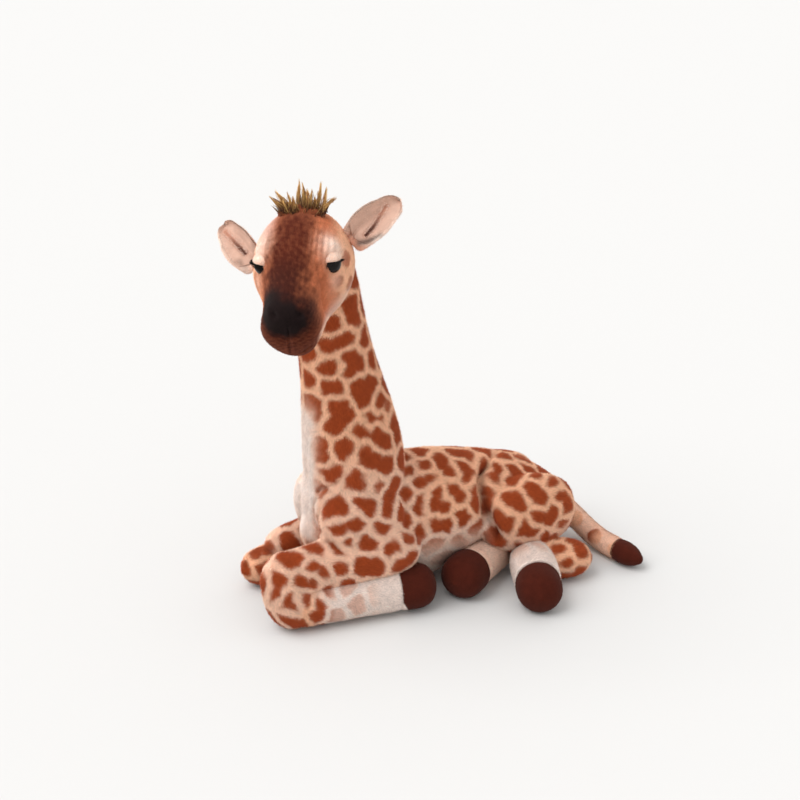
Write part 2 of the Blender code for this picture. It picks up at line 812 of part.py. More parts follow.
def make_foreleg_right(looks, clear_torso):
    pivot = Vector((-knee_side, -knee_front, right_knee_radius + leg_lift))
    aim = heading(90.0 - lower_leg_splay_deg, -1.0)
    drop = Vector((0.0, 0.0, right_hoof_radius - right_knee_radius))
    run = (aim * lower_leg_length + drop).normalized()
    lower = straight_leg(
        "foreleg_right_lower", pivot, run, lower_leg_length, (right_knee_radius, right_shin_radius),
        foreleg_sides, looks["white"], pivot)
    seam = pivot + run * (lower_leg_length - hoof_length)
    hoof = make_hoof(
        "foreleg_right_hoof", seam, run, hoof_length, foreleg_sides, looks["hoof"], pivot,
        right_hoof_radius)
    knee = pivot + Vector((0.0, forearm_length * 0.22, right_forearm_rise))
    elbow = pivot + Vector((forearm_inset * 0.3, forearm_length, right_elbow_rise))
    rows = []
    for share, swell in ((0.0, 0.0), (0.5, 0.4), (1.0, 1.0)):
        radius = right_shin_radius + (right_elbow_radius - right_shin_radius) * swell
        rows.append((knee.lerp(elbow, share), radius * 0.94, radius))
    upper = stuffed(
        "foreleg_right_upper", rows, X, foreleg_sides, (right_shin_radius, right_elbow_radius),
        looks["tan"])
    finish_upper(upper, -1.0, looks, clear_torso)
    trim_by(upper, swept((lower, hoof), joint_gap, pivot, (0.0, knee_swing_deg), run))
    seam_leg(lower, seam, run, hoof_radius * 3.0)


def finish_upper(upper, flip, looks, clear_torso):
    """Join the shoulder pad to the upper leg and fit both to the torso."""
    centre = Vector((shoulder_side * flip, shoulder_back - torso_front, shoulder_height))
    rows = ellipsoid_stations(
        centre, Y, shoulder_half_length, shoulder_half_width, shoulder_half_height)
    cap = shoulder_half_length * 0.2
    pad = stuffed("shoulder_pad", rows, X, foreleg_sides, (cap, cap), looks["tan"])
    TOY.objects.unlink(pad)
    CUTTERS.objects.link(pad)
    pad.hide_render = True
    pad.display_type = "WIRE"
    boolean(upper, pad, "UNION")
    trim_by(upper, clear_torso)
    trim_by(upper, ball(neck_foot, neck_foot_radius + joint_gap, "neck_clearance"))


def make_hind_left(looks, clear_torso, clear_right, right_cannon):
    centre = Vector((thigh_side, thigh_back - torso_front, thigh_height))
    rows = ellipsoid_stations(centre, Y, thigh_half_length, thigh_half_width, thigh_half_height)
    cap = thigh_half_length * 0.2
    thigh = stuffed("thigh_left", rows, X, hindleg_sides, (cap, cap), looks["tan"])
    clear_thigh = swollen(thigh, gap)
    trim_by(thigh, clear_torso)
    pivot = Vector((left_stifle_side, left_stifle_back - torso_front, stifle_radius + leg_lift))
    back = heading(left_shank_heading_deg)
    rows = []
    for share in (0.0, 1.0):
        centre = pivot + back * (left_shank_length * share)
        centre.z = hock_radius + leg_lift
        rows.append((centre, hock_radius, hock_radius))
    shank = stuffed("shank_left", rows, Z, hindleg_sides, (hock_radius, hock_radius), looks["tan"])
    trim_by(shank, clear_thigh)
    aim = heading(left_cannon_heading_deg)
    cannon = straight_leg(
        "cannon_left", pivot, aim, left_cannon_length, (stifle_radius, stifle_radius),
        hindleg_sides, looks["white"], pivot)
    seam = pivot + aim * (left_cannon_length - hind_hoof_length)
    hoof = make_hoof(
        "hindhoof_left", seam, aim, hind_hoof_length, hindleg_sides, looks["hoof"], pivot, hoof_radius)
    limits = (-stifle_swing_deg * 0.5, stifle_swing_deg)
    swing_room = swept((cannon, hoof), joint_gap, pivot, limits, aim)
    trim_by(thigh, swing_room)
    trim_by(thigh, clear_right)
    trim_by(right_cannon, swing_room)
    trim_by(shank, swing_room)
    seam_leg(cannon, seam, aim, hoof_radius * 3.0)


def make_hind_right(looks, clear_torso):
    centre = Vector((-thigh_side, thigh_back - torso_front, right_thigh_height))
    rows = ellipsoid_stations(
        centre, Y, thigh_half_length, thigh_half_width, right_thigh_half_height)
    cap = thigh_half_length * 0.2
    thigh = stuffed("thigh_right", rows, X, hindleg_sides, (cap, cap), looks["tan"])
    trim_by(thigh, clear_torso)
    pivot = Vector((right_stifle_side, right_stifle_back - torso_front, cannon_radius + leg_lift))
    aim = heading(right_cannon_heading_deg)
    drop = Vector((0.0, 0.0, hoof_radius - cannon_radius))
    run = (aim * right_cannon_length + drop).normalized()
    cannon = straight_leg(
        "cannon_right", pivot, run, right_cannon_length, (cannon_radius, cannon_radius),
        hindleg_sides, looks["white"], None)
    back = heading(right_shank_heading_deg)
    rows = []
    for share in (0.0, 1.0):
        centre = pivot + back * (right_shank_length * share)
        rows.append((centre, right_shank_radius, right_shank_radius))
    caps = (right_shank_radius, right_shank_radius)
    shank = stuffed("shank_right", rows, Z, hindleg_sides, caps, looks["tan"])
    trim_by(thigh, swollen(shank, gap))
    trim_by(shank, clear_torso)
    clear_cannon = swollen(cannon, gap)
    trim_by(shank, clear_cannon)
    trim_by(cannon, clear_torso)
    seam = pivot + run * (right_cannon_length - hind_hoof_length)
    hoof = make_hoof(
        "hindhoof_right", seam, run, hind_hoof_length, hindleg_sides, looks["hoof"], None, hoof_radius)
    trim_by(hoof, clear_torso)
    seam_leg(cannon, seam, run, hoof_radius * 3.0)
    return clear_cannon, cannon


def make_tail(looks, torso):
    root = Vector((0.0, torso_length - torso_front - tail_root_in, tail_root_height))
    rise = tail_root_height - tail_radius - leg_lift - gap
    rows = []
    for aside, back, height, radius in tail_shares:
        centre = root + Vector((tail_reach * aside, tail_back * back, rise * (height - 1.0)))
        rows.append((centre, tail_radius * radius, tail_radius * radius))
    first = (rows[1][0] - rows[0][0]).normalized()
    aim = rows[-1][0] - rows[-2][0]
    aim.z = 0.0
    aim.normalize()
    seam = rows[-1][0] - aim * overrun
    tail = stuffed("tail", rows, Z, tail_sides, (tail_radius, tail_radius), looks["tan"], root)
    seam_leg(tail, seam, aim, tail_radius * 4.0)
    level = tail_tip_radius + leg_lift - rows[-1][0].z
    rows = []
    for share, radius in ((-0.12, 0.94), (0.35, 1.0), (0.75, 0.84), (1.0, 0.44)):
        centre = seam + aim * (tail_tip_length * share) + Z * level
        rows.append((centre, tail_tip_radius * radius, tail_tip_radius * radius))
    tip = stuffed("tail_tip", rows, Z, tail_sides, (overrun, overrun), looks["hoof"], root)
    trim_by(tip, block(seam + aim * (gap * 0.5), -aim, tail_radius * 4.0, "tail_tip_seam"))
    trim_by(torso, swept((tail,), joint_gap, root, (-tail_swing_deg * 0.1, tail_swing_deg), first))


def build():
    looks = {
        "tan": material("tan_plush", TAN),
        "cream": material("cream_plush", CREAM),
        "white": material("white_plush", WHITE),
        "face": material("face_plush", FACE),
        "hoof": material("hoof_plush", HOOF),
        "lining": material("ear_lining_cloth", LINING),
        "lid": material("eyelid_cloth", FACE),
        "bead": material("eye_bead", BEAD, 0.15),
        "washer": material("washer_plastic", WASHER, 0.5),
        "hair": material("forelock_hair", HAIR),
    }
    torso, clear_torso = make_torso(looks["cream"])
    neck = make_neck(looks["cream"])
    clear_neck = swollen(neck, joint_gap)
    clear_for_neck(torso, neck)
    head = make_head(looks["face"])
    clear_head = swollen(head, gap)
    clear_ear = swollen(head, ear_clearance)
    for side, flip in (("left", 1.0), ("right", -1.0)):
        lid, lashes = make_eye(side, flip, head, looks)
        trim_by(lid, clear_head)
        trim_by(lashes, clear_head)
    trim_by(head, clear_neck)
    top = end_radius(neck, neck_top, -neck_axis) + joint_gap
    trim_by(head, ball(neck_top, top, "head_socket"))
    make_ear(
        "left", ear_left_root_shares, ear_left_along_shares, ear_left_face_shares, looks, head, clear_ear)
    make_ear(
        "right", ear_right_root_shares, ear_right_along_shares, ear_right_face_shares, looks, head,
        clear_ear)
    make_forelock(looks["hair"], clear_head)
    make_foreleg_left(looks, clear_torso)
    make_foreleg_right(looks, clear_torso)
    clear_right, right_cannon = make_hind_right(looks, clear_torso)
    make_hind_left(looks, clear_torso, clear_right, right_cannon)
    make_tail(looks, torso)


clear_scene()
TOY = new_collection("plush_giraffe")
CUTTERS = new_collection("cutters")
build()
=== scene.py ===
"""Looks of the plush giraffe calf: its hide, pile, face, ears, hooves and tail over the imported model."""

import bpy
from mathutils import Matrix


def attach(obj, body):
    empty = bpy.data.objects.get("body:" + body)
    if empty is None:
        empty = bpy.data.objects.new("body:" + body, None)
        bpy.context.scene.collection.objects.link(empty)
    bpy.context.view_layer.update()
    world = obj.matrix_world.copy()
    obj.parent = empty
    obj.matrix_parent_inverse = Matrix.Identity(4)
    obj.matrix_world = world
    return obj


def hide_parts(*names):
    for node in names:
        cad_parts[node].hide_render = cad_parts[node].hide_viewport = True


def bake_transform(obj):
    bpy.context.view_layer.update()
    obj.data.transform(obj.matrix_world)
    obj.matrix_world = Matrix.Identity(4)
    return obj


bl_info = {
    "name": "Plush giraffe calf",
    "version": (1, 0, 0),
    "blender": (4, 5, 0),
    "location": "3D View > Sidebar > Giraffe",
    "description": "Builds the stuffed skins, the short pile and the face of a lying plush giraffe calf",
    "category": "Object",
}

import math

import bpy
import numpy as np
from bpy.props import FloatProperty, FloatVectorProperty, IntProperty, PointerProperty
from bpy.types import Operator, Panel, PropertyGroup
from mathutils import Matrix, Vector
from mathutils.bvhtree import BVHTree

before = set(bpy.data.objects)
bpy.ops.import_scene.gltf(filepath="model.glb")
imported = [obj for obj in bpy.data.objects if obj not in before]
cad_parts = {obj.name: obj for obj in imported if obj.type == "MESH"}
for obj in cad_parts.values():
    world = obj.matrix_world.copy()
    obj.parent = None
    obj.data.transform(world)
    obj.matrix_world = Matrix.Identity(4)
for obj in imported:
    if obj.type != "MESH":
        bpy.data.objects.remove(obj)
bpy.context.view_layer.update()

X = np.array((1.0, 0.0, 0.0))
Y = np.array((0.0, 1.0, 0.0))
Z = np.array((0.0, 0.0, 1.0))
SIDES = (("left", 1.0), ("right", -1.0))
UV_MAP = "OFBake"
FILM_WIDTH = 36.0
PICTURE = 800.0

# The trunk in metres, then its rings as shares: along, centre height, half width, half height
TORSO_START = -0.108
TORSO_LENGTH = 0.301
TORSO_HEIGHT = 0.136
TORSO_HALF_WIDTH = 0.051
TORSO_RINGS = (
    (0.070, 0.585, 0.60, 0.270), (0.205, 0.534, 0.84, 0.446), (0.359, 0.542, 0.89, 0.542),
    (0.495, 0.553, 0.98, 0.493), (0.630, 0.632, 0.95, 0.337), (0.790, 0.575, 0.77, 0.275),
    (0.930, 0.390, 0.54, 0.200))
# Up the neck, forward lean, half width, half depth as shares of the foot
NECK_RINGS = (
    (0.000, 0.00, 0.96, 1.00), (0.210, 0.11, 0.83, 0.98), (0.420, 0.35, 0.67, 0.82),
    (0.680, 0.66, 0.60, 0.64), (1.000, 1.00, 0.647, 0.647))
# Forward, half width, half height, drop of the centre
HEAD_RINGS = (
    (-0.30, 0.82, 0.82, 0.00), (-0.12, 0.97, 0.97, 0.00), (0.08, 1.01, 1.00, 0.00),
    (0.28, 0.96, 0.98, 0.01), (0.48, 0.76, 0.88, 0.05), (0.68, 0.63, 0.83, 0.09),
    (0.89, 0.60, 0.77, 0.10))
# Sideways, back, height, radius
TAIL_RINGS = (
    (0.00, 0.00, 1.00, 1.00), (0.20, 0.52, 0.32, 0.96), (0.46, 0.68, 0.07, 0.94),
    (0.72, 0.82, 0.02, 0.96), (1.00, 1.00, 0.00, 1.00))
# Along the leaf, half width
EAR_WIDTHS = (
    (0.00, 0.74), (0.12, 0.84), (0.25, 0.95), (0.40, 1.00), (0.56, 0.96),
    (0.70, 0.83), (0.83, 0.64), (0.93, 0.44), (1.00, 0.20))

NECK_FOOT = np.array((0.0, -0.050, 0.130))
NECK_TOP = np.array((0.0, -0.081, 0.345))
NECK_RADIUS = 0.051
NECK_TOP_RADIUS = 0.033
HEAD_CENTRE = np.array((0.031623, -0.110227, 0.378500))
HEAD_FORWARD = np.array((0.784886, -0.453154, -0.422618))
HEAD_LEFT = np.array((0.524313, 0.849176, 0.063221))
HEAD_UP = np.array((0.330228, -0.271205, 0.904100))
SKULL_WIDTH = 0.0455
SKULL_HEIGHT = 0.046
SKULL_BACK = 0.046
MUZZLE = 0.094
# Forward, aside and up on the skull
EYE_SHARES = (0.32, 0.67, 0.49)
# How far a pole stands past the rings of its dome, as a share of the dome
POLE_SHARE = 1.04
# A piece stands this far above the floor, and its rings this far apart before they are sewn
FLOOR_GAP = 0.0004
FORM_STEP = 0.003

# Where the photograph shows the brown patches: each is one or more pixels of it,
# and the points of one patch make one cell
PATCHES = (
    ((352, 306), (353, 318)), ((333, 311),), ((332, 326),), ((327, 344), (338, 340), (347, 337)),
    ((364, 338),), ((311, 354),), ((350, 356), (358, 364), (350, 370)), ((371, 358),),
    ((322, 368), (331, 367)), ((312, 378),), ((326, 385), (335, 385)),
    ((357, 384), (368, 383), (365, 397)), ((380, 404), (385, 410)), ((314, 404), (315, 413)),
    ((338, 407), (343, 415), (332, 424)), ((372, 418), (381, 416)),
    ((363, 430), (376, 430), (384, 440)), ((392, 422), (397, 432)),
    ((321, 444), (323, 454)), ((341, 450), (350, 448)), ((362, 452), (373, 458), (384, 465)),
    ((401, 457), (408, 471)), ((410, 445), (416, 452)), ((327, 475), (337, 472)), ((320, 484),),
    ((351, 478), (358, 486), (366, 484)), ((374, 485),), ((358, 500), (368, 505)),
    ((394, 486), (389, 496), (387, 508)), ((400, 509), (405, 519)), ((333, 508), (342, 506)),
    ((340, 531), (353, 526)), ((380, 530),), ((362, 541), (371, 542)), ((347, 541),),
    ((389, 550), (397, 545)), ((405, 540),), ((400, 561), (409, 557)), ((362, 564), (376, 564)),
    ((338, 565),), ((331, 546), (338, 552)), ((309, 549), (320, 549)), ((288, 561), (297, 558)),
    ((290, 545),), ((312, 568), (321, 573)), ((303, 580), (313, 581)), ((277, 580), (275, 592)),
    ((287, 600), (294, 606)), ((303, 601),), ((320, 604), (317, 616)), ((289, 619), (298, 624)),
    ((328, 593),), ((335, 616),), ((344, 588),), ((356, 605),), ((377, 596),),
    ((259, 566), (267, 563)), ((257, 556), (266, 554)), ((252, 582), (264, 584)), ((246, 570),),
    ((417, 480), (428, 476)), ((424, 466),), ((440, 462), (450, 471)), ((458, 454), (470, 457)),
    ((460, 467), (468, 478)), ((480, 463),), ((483, 451), (492, 450)), ((408, 494),),
    ((418, 500), (416, 508)), ((432, 503), (438, 491), (446, 507)), ((450, 489), (458, 498)),
    ((434, 525), (446, 523)), ((460, 512), (463, 521)), ((474, 488), (476, 502)), ((472, 528),),
    ((433, 545),), ((459, 541),), ((419, 530),),
    ((498, 469), (492, 479)), ((510, 468), (517, 474), (508, 480)), ((526, 469), (537, 476)),
    ((550, 482),), ((558, 497), (564, 505)), ((531, 490), (540, 499)), ((506, 502), (517, 502)),
    ((498, 512), (506, 524)), ((538, 516), (549, 518), (553, 510)), ((524, 528), (532, 532)),
    ((543, 536), (554, 533)), ((559, 526), (566, 530)), ((559, 549),), ((573, 543), (577, 551)),
    ((566, 562),), ((563, 574), (577, 571)), ((523, 549),), ((537, 545),), ((594, 536),),
    ((487, 488), (488, 503)), ((545, 466),), ((521, 459),), ((503, 457),), ((574, 518),),
    ((339, 282),), ((334, 297),))
# Creases of the body seen in the photograph: pixels, depth and half width
BODY_CREASES = (
    (((486, 466), (481, 476), (482, 490), (485, 506), (489, 522), (497, 537)), 0.0120, 0.0056),
    (((497, 452), (490, 459), (485, 467)), 0.0050, 0.0040),
    (((316, 490), (328, 487), (338, 482), (345, 474)), 0.0042, 0.0034),
    (((318, 492), (313, 506), (314, 520), (322, 534)), 0.0036, 0.0034),
    (((300, 430), (299, 455), (303, 480), (301, 505)), 0.0014, 0.0026),
    (((309, 432), (307, 462), (309, 492), (308, 520)), 0.0014, 0.0024),
    (((326, 541), (335, 548), (346, 557)), 0.0020, 0.0028),
    (((411, 468), (415, 492), (418, 520), (417, 548)), 0.0024, 0.0036),
    (((503, 486), (500, 474), (506, 464)), 0.0012, 0.0022),
    (((516, 490), (512, 476), (517, 466)), 0.0010, 0.0020))
# Lines of the ears: the lining's fold, drawn in and given painted shade, and the band under the rolled
# lower edge, where a painted shadow lies
EAR_CREASES = {
    "left": {"fold": ((366, 235), (374, 226), (380, 216), (386, 206)),
             "band": ((359, 243), (366, 242), (374, 239), (380, 236))},
    "right": {"fold": ((225, 232), (231, 238), (238, 246), (245, 253)),
              "band": ((240, 262), (246, 272), (250, 280))}}
CHEEK_SEAM = ((318, 268), (321, 285), (322, 301), (326, 318), (325, 334), (318, 345), (310, 352))
MOUTH_SEAM = ((288, 330), (289, 341), (290, 356))
LIPS = ((268, 348), (276, 354), (290, 357), (303, 352), (311, 346))
# Fullest place of the near cannon
CANNON_SWELLING = ((518, 552), (519, 558))
# Tips of the forelock's tufts in the photograph, and where each leaves the band
TUFTS = (
    ((270, 198), (284, 209)), ((275, 190), (287, 209)), ((279, 194), (290, 210)),
    ((288, 193), (292, 210)), ((293, 197), (294, 211)), ((299, 177), (301, 210)),
    ((303, 182), (303, 210)), ((307, 189), (306, 209)), ((312, 189), (309, 210)),
    ((321, 180), (313, 210)), ((327, 187), (320, 210)), ((337, 197), (323, 210)),
    ((283, 201), (288, 210)), ((316, 198), (316, 210)), ((330, 204), (324, 211)))


def unit(rows):
    """Each row divided by its own length."""
    rows = np.asarray(rows, float)
    return rows / np.maximum(np.linalg.norm(rows, axis=-1, keepdims=True), 1e-12)


def smooth(low, high, values):
    """0 below low, 1 above high, and 3t^2 - 2t^3 between."""
    t = np.clip((np.asarray(values, float) - low) / (high - low), 0.0, 1.0)
    return t * t * (3.0 - 2.0 * t)


def hill(points, centre, reach):
    """exp(-d^2 / reach^2), with d the distance from the centre."""
    gap = np.asarray(points, float) - np.asarray(centre, float)
    return np.exp(-np.einsum("...i,...i", gap, gap) / reach ** 2)


def spline(rows, at):
    """Rows of a uniform cubic B-spline at parameters from 0 to the last row's number.

    It starts and ends on the first and last row.
    """
    rows = np.asarray(rows, float)
    knots = np.vstack([2.0 * rows[0] - rows[1], rows, 2.0 * rows[-1] - rows[-2]])
    index = np.minimum(at.astype(int), len(rows) - 2)
    t = (at - index)[:, None]
    weights = ((1 - t) ** 3, 3 * t ** 3 - 6 * t ** 2 + 4, -3 * t ** 3 + 3 * t ** 2 + 3 * t + 1, t ** 3)
    return sum(weight * knots[index + number] for number, weight in enumerate(weights)) / 6.0


def control_rows(stations, side, caps, cap_degrees=(48.0,)):
    """Rows of centre, sideways arm and upward arm for a stuffed form.

    They are a pole, the rings of a dome, the stations, a dome and a pole.
    """
    centres, wide, high = (np.array([row[column] for row in stations], float) for column in range(3))
    first, last = unit(centres[1] - centres[0]), unit(centres[-1] - centres[-2])
    tangent = unit(np.vstack([centres[1:], centres[-1:]]) - np.vstack([centres[:1], centres[:-1]]))
    turns = np.radians(np.array(cap_degrees, float))
    sine, cosine = np.sin(turns), np.cos(turns)
    centre = np.vstack([
        centres[0] - first * caps[0] * POLE_SHARE, centres[0] - first * (caps[0] * sine)[:, None], centres,
        centres[-1] + last * (caps[1] * sine[::-1])[:, None], centres[-1] + last * caps[1] * POLE_SHARE])
    wide, high = (np.concatenate([[0.0], arm[0] * cosine, arm, arm[-1] * cosine[::-1], [0.0]])
                  for arm in (wide, high))
    ends = len(cap_degrees) + 1
    tangent = np.vstack([np.tile(first, (ends, 1)), tangent, np.tile(last, (ends, 1))])
    across = unit(side - tangent * (tangent @ side)[:, None])
    over = np.cross(tangent, across)
    return np.hstack([centre, across * wide[:, None], over * high[:, None]])


def loft(rows, spacing):
    """A closed surface S(u, v) = C(u) + A(u) cos v + H(u) sin v on a grid of even steps in u.

    C, A and H are a B-spline of the control rows. Returns the points, with one pole at each end,
    and the grid's size.
    """
    fine = np.linspace(0.0, len(rows) - 1.0, 400)
    edge = spline(rows, fine)
    keel = edge[:, 0:3] + edge[:, 3:6]
    run = np.concatenate([[0.0], np.cumsum(np.linalg.norm(np.diff(keel, axis=0), axis=1))])
    count = max(int(run[-1] / spacing), 8)
    row = spline(rows, np.interp(np.linspace(0.0, run[-1], count), run, fine))
    widest = max(np.linalg.norm(edge[:, arm], axis=1).max() for arm in (slice(3, 6), slice(6, 9)))
    columns = max(int(2.0 * math.pi * widest / spacing), 12)
    turn = np.linspace(0.0, 2.0 * math.pi, columns, endpoint=False)[None, :, None]
    grid = row[:, None, 0:3] + row[:, None, 3:6] * np.cos(turn) + row[:, None, 6:9] * np.sin(turn)
    return np.vstack([grid[0, :1], grid[1:-1].reshape(-1, 3), grid[-1, :1]]), (count, columns)


def closed_grid(size):
    """Corner numbers, face sizes and a UV for each corner of a grid of rings between two poles."""
    count, columns = size
    rings = count - 2
    grid = np.meshgrid(np.arange(rings - 1), np.arange(columns), indexing="ij")
    ring, step = grid[0].ravel(), grid[1].ravel()
    after = (step + 1) % columns
    base = 1 + ring * columns
    quads = np.stack([base + step, base + after, base + columns + after, base + columns + step], 1)
    high, higher = (ring + 1.0) / (count - 1), (ring + 2.0) / (count - 1)
    left, right = step / columns, (step + 1.0) / columns
    quad_uv = np.stack([left, high, right, high, right, higher, left, higher], 1)
    step = np.arange(columns)
    after = (step + 1) % columns
    left, mid, right = step / columns, (step + 0.5) / columns, (step + 1.0) / columns
    low, top = np.full(columns, 1.0 / (count - 1)), np.full(columns, (count - 2.0) / (count - 1))
    foot = np.stack([0 * step, 1 + after, 1 + step], 1)
    foot_uv = np.stack([mid, 0.0 * mid, right, low, left, low], 1)
    last = 1 + (rings - 1) * columns
    head = np.stack([0 * step + last + columns, last + step, last + after], 1)
    head_uv = np.stack([mid, np.ones(columns), left, top, right, top], 1)
    corners = np.concatenate([quads.ravel(), foot.ravel(), head.ravel()])
    sizes = np.repeat((4, 3), (len(quads), 2 * columns))
    return corners, sizes, np.concatenate([quad_uv.ravel(), foot_uv.ravel(), head_uv.ravel()])


def turned_out(points, corners, sizes, uv):
    """Face corners and their UVs, turned round if the faces enclose a negative volume."""
    uv = uv.reshape(-1, 2)
    starts = np.cumsum(sizes) - sizes
    a, b, c, d = (points[corners[starts + np.minimum(number, sizes - 1)]] for number in range(4))
    if np.einsum("ij,ij", a, np.cross(b, c)) + np.einsum("ij,ij", a, np.cross(c, d)) >= 0.0:
        return corners, uv
    face = np.repeat(np.arange(len(sizes)), sizes)
    order = (starts + sizes - 1)[face] - (np.arange(len(corners)) - starts[face])
    return corners[order], uv[order]


def new_object(name, points, corners, sizes, uv=None):
    """A smooth mesh object at the origin from arrays of points, face corners, face sizes and UVs."""
    mesh = bpy.data.meshes.new(name)
    mesh.vertices.add(len(points))
    mesh.vertices.foreach_set("co", points.astype(np.float32).ravel())
    mesh.loops.add(len(corners))
    mesh.loops.foreach_set("vertex_index", corners.astype(np.int32))
    mesh.polygons.add(len(sizes))
    mesh.polygons.foreach_set("loop_start", (np.cumsum(sizes) - sizes).astype(np.int32))
    mesh.polygons.foreach_set("use_smooth", np.ones(len(sizes), bool))
    if uv is not None:
        mesh.uv_layers.new(name=UV_MAP).uv.foreach_set("vector", uv.astype(np.float32).ravel())
    mesh.update(calc_edges=True)
    item = bpy.data.objects.new(name, mesh)
    bpy.context.scene.collection.objects.link(item)
    return item


def closed_object(name, points, size):
    """A closed form from a grid of rings between two poles."""
    corners, sizes, uv = closed_grid(size)
    corners, uv = turned_out(points, corners, sizes, uv)
    return new_object(name, points, corners, sizes, uv)


def capped(grid):
    """Points of a grid of rings whose first and last ring shrink to a pole at their middle."""
    return np.vstack([grid[0].mean(0)[None], grid[1:-1].reshape(-1, 3), grid[-1].mean(0)[None]])


def rows_of(collection, field, kind):
    """One field of a mesh's points or faces, as rows of three."""
    values = np.empty(len(collection) * 3, kind)
    collection.foreach_get(field, values)
    return values.reshape(-1, 3)


def arrays(item):
    """A mesh object's points, vertex normals and triangles."""
    mesh = item.data
    mesh.calc_loop_triangles()
    return (rows_of(mesh.vertices, "co", np.float32).astype(float),
            rows_of(mesh.vertex_normals, "vector", np.float32).astype(float),
            rows_of(mesh.loop_triangles, "vertices", np.int32))


def set_points(item, points):
    """Move a mesh object's points to new places."""
    item.data.vertices.foreach_set("co", points.astype(np.float32).ravel())
    item.data.update()


def swell(item, height):
    """Move each point along its normal by height(points)."""
    points, normals, _ = arrays(item)
    set_points(item, points + normals * height(points)[:, None])


def carry(item, **masks):
    """Store one number for each vertex under each name."""
    for name, values in masks.items():
        store = item.data.attributes.get(name) or item.data.attributes.new(name, "FLOAT", "POINT")
        values = np.broadcast_to(np.asarray(values, np.float32), len(item.data.vertices))
        store.data.foreach_set("value", np.ascontiguousarray(values, np.float32))


def apply_modifiers(item):
    """Make the object's mesh what its modifiers leave."""
    bpy.context.view_layer.update()
    graph = bpy.context.evaluated_depsgraph_get()
    mesh = bpy.data.meshes.new_from_object(item.evaluated_get(graph))
    old = item.data
    item.modifiers.clear()
    item.data = mesh
    bpy.data.meshes.remove(old)


def ripple(points, scale, seed, octaves=2):
    """Soft lumps from -1 to 1: a sum of sines of slanted planes.

    Each octave is half as long and half as high as the one before.
    """
    random = np.random.default_rng(seed)
    total, weight = np.zeros(len(points)), 0.0
    for octave in range(octaves):
        share = 0.5 ** octave
        waves = unit(random.normal(size=(7, 3))) * (2.0 * math.pi / (scale * share))
        phases = random.uniform(0.0, 2.0 * math.pi, 7)
        total += np.sin(points @ waves.T + phases).mean(1) * share
        weight += share
    return total / weight * 1.6


def view_axes(stage):
    """Right, up and back of the photograph's camera, and where it stands."""
    turn, lift = stage.azimuth, stage.elevation
    back = np.array((math.sin(turn) * math.cos(lift), -math.cos(turn) * math.cos(lift), math.sin(lift)))
    right = np.array((math.cos(turn), math.sin(turn), 0.0))
    up = np.cross(back, right)
    target = np.array((0.0, 0.0, stage.target_height))
    return right, up, back, target + back * stage.distance


def focal_length(stage):
    """The lens in pixels of the photograph."""
    return stage.lens / FILM_WIDTH * PICTURE


def pixel_ray(stage, pixel):
    """Where the camera stands, and the direction from it through a pixel of the photograph."""
    right, up, back, place = view_axes(stage)
    x, y = pixel[0] - PICTURE / 2.0, pixel[1] - PICTURE / 2.0
    return place, unit(right * x - up * y - back * focal_length(stage))


def skin_tree(items):
    """The points of some skins taken together, and a tree for rays that meet them."""
    points, faces, shift = [], [], 0
    for item in items:
        own, _, triangles = arrays(item)
        points.append(own)
        faces.append(triangles + shift)
        shift += len(own)
    points, faces = np.vstack(points), np.vstack(faces)
    return points, BVHTree.FromPolygons(points.tolist(), faces.tolist())


def cast(tree, pixels, stage):
    """Points where the rays through some pixels of the photograph meet the skins."""
    found = []
    for pixel in pixels:
        place, aim = pixel_ray(stage, pixel)
        hit = tree.ray_cast(Vector(place), Vector(aim))[0]
        if hit is not None:
            found.append(hit)
    return np.array(found).reshape(-1, 3)


def on_skin(item, pixels, stage):
    """Points of a skin under a line of the photograph's pixels, one every two pixels."""
    pixels = np.array(pixels, float)
    run = np.concatenate([[0.0], np.cumsum(np.linalg.norm(np.diff(pixels, axis=0), axis=1))])
    at = np.linspace(0.0, run[-1], max(int(run[-1] / 2.0), 2))
    spots = np.stack([np.interp(at, run, pixels[:, 0]), np.interp(at, run, pixels[:, 1])], 1)
    return cast(skin_tree([item])[1], spots, stage)


def line_gap(points, line):
    """Distance from each point to the nearest point of a line."""
    best = np.full(len(points), 1.0)
    for spot in line:
        best = np.minimum(best, np.linalg.norm(points - spot, axis=1))
    return best


def near_line(points, line, width):
    """exp(-d^2 / width^2), with d the distance from the line."""
    return np.exp(-(line_gap(points, line) / width) ** 2)


def crease(item, folds, stage):
    """Draw the skin in along lines of the photograph by depth * exp(-d^2 / width^2)."""
    found = [(on_skin(item, pixels, stage), depth, width) for pixels, depth, width in folds]
    swell(item, lambda points: -sum(depth * near_line(points, line, width) for line, depth, width in found))


def settle(item):
    """Press what would reach below the floor flat on it."""
    points = arrays(item)[0]
    points[:, 2] = np.maximum(points[:, 2], FLOOR_GAP)
    set_points(item, points)


def lumpy(item, height, scale, seed):
    """Move each point along its normal by soft lumps, as hand stuffing leaves them."""
    swell(item, lambda points: ripple(points, scale, seed) * height)


skins = {}
lines = {}


def remember(item, kind):
    """Keep a skin for the pile that is laid on it later."""
    skins[item.name] = kind
    return item


def stuffed(name, rows, step, kind, lump=0.0, scale=0.03, seed=0):
    """One stuffed piece from its control rows: lumpy, and flat where it lies on the floor."""
    item = closed_object(name, *loft(rows, step))
    if lump:
        lumpy(item, lump, scale, seed)
    settle(item)
    return remember(item, kind)


def on_head(forward, aside, up):
    """A place on the head from its forward, left and up."""
    return HEAD_CENTRE + HEAD_FORWARD * forward + HEAD_LEFT * aside + HEAD_UP * up


def head_places(points):
    """Points as forward, left and up of the middle of the skull."""
    gap = points - HEAD_CENTRE
    return gap @ HEAD_FORWARD, gap @ HEAD_LEFT, gap @ HEAD_UP


def heading(degrees, flip=1.0):
    """A level direction, turned from +X to +Y, or from -X for the right side."""
    turn = math.radians(degrees)
    return np.array((math.cos(turn) * flip, math.sin(turn), 0.0))


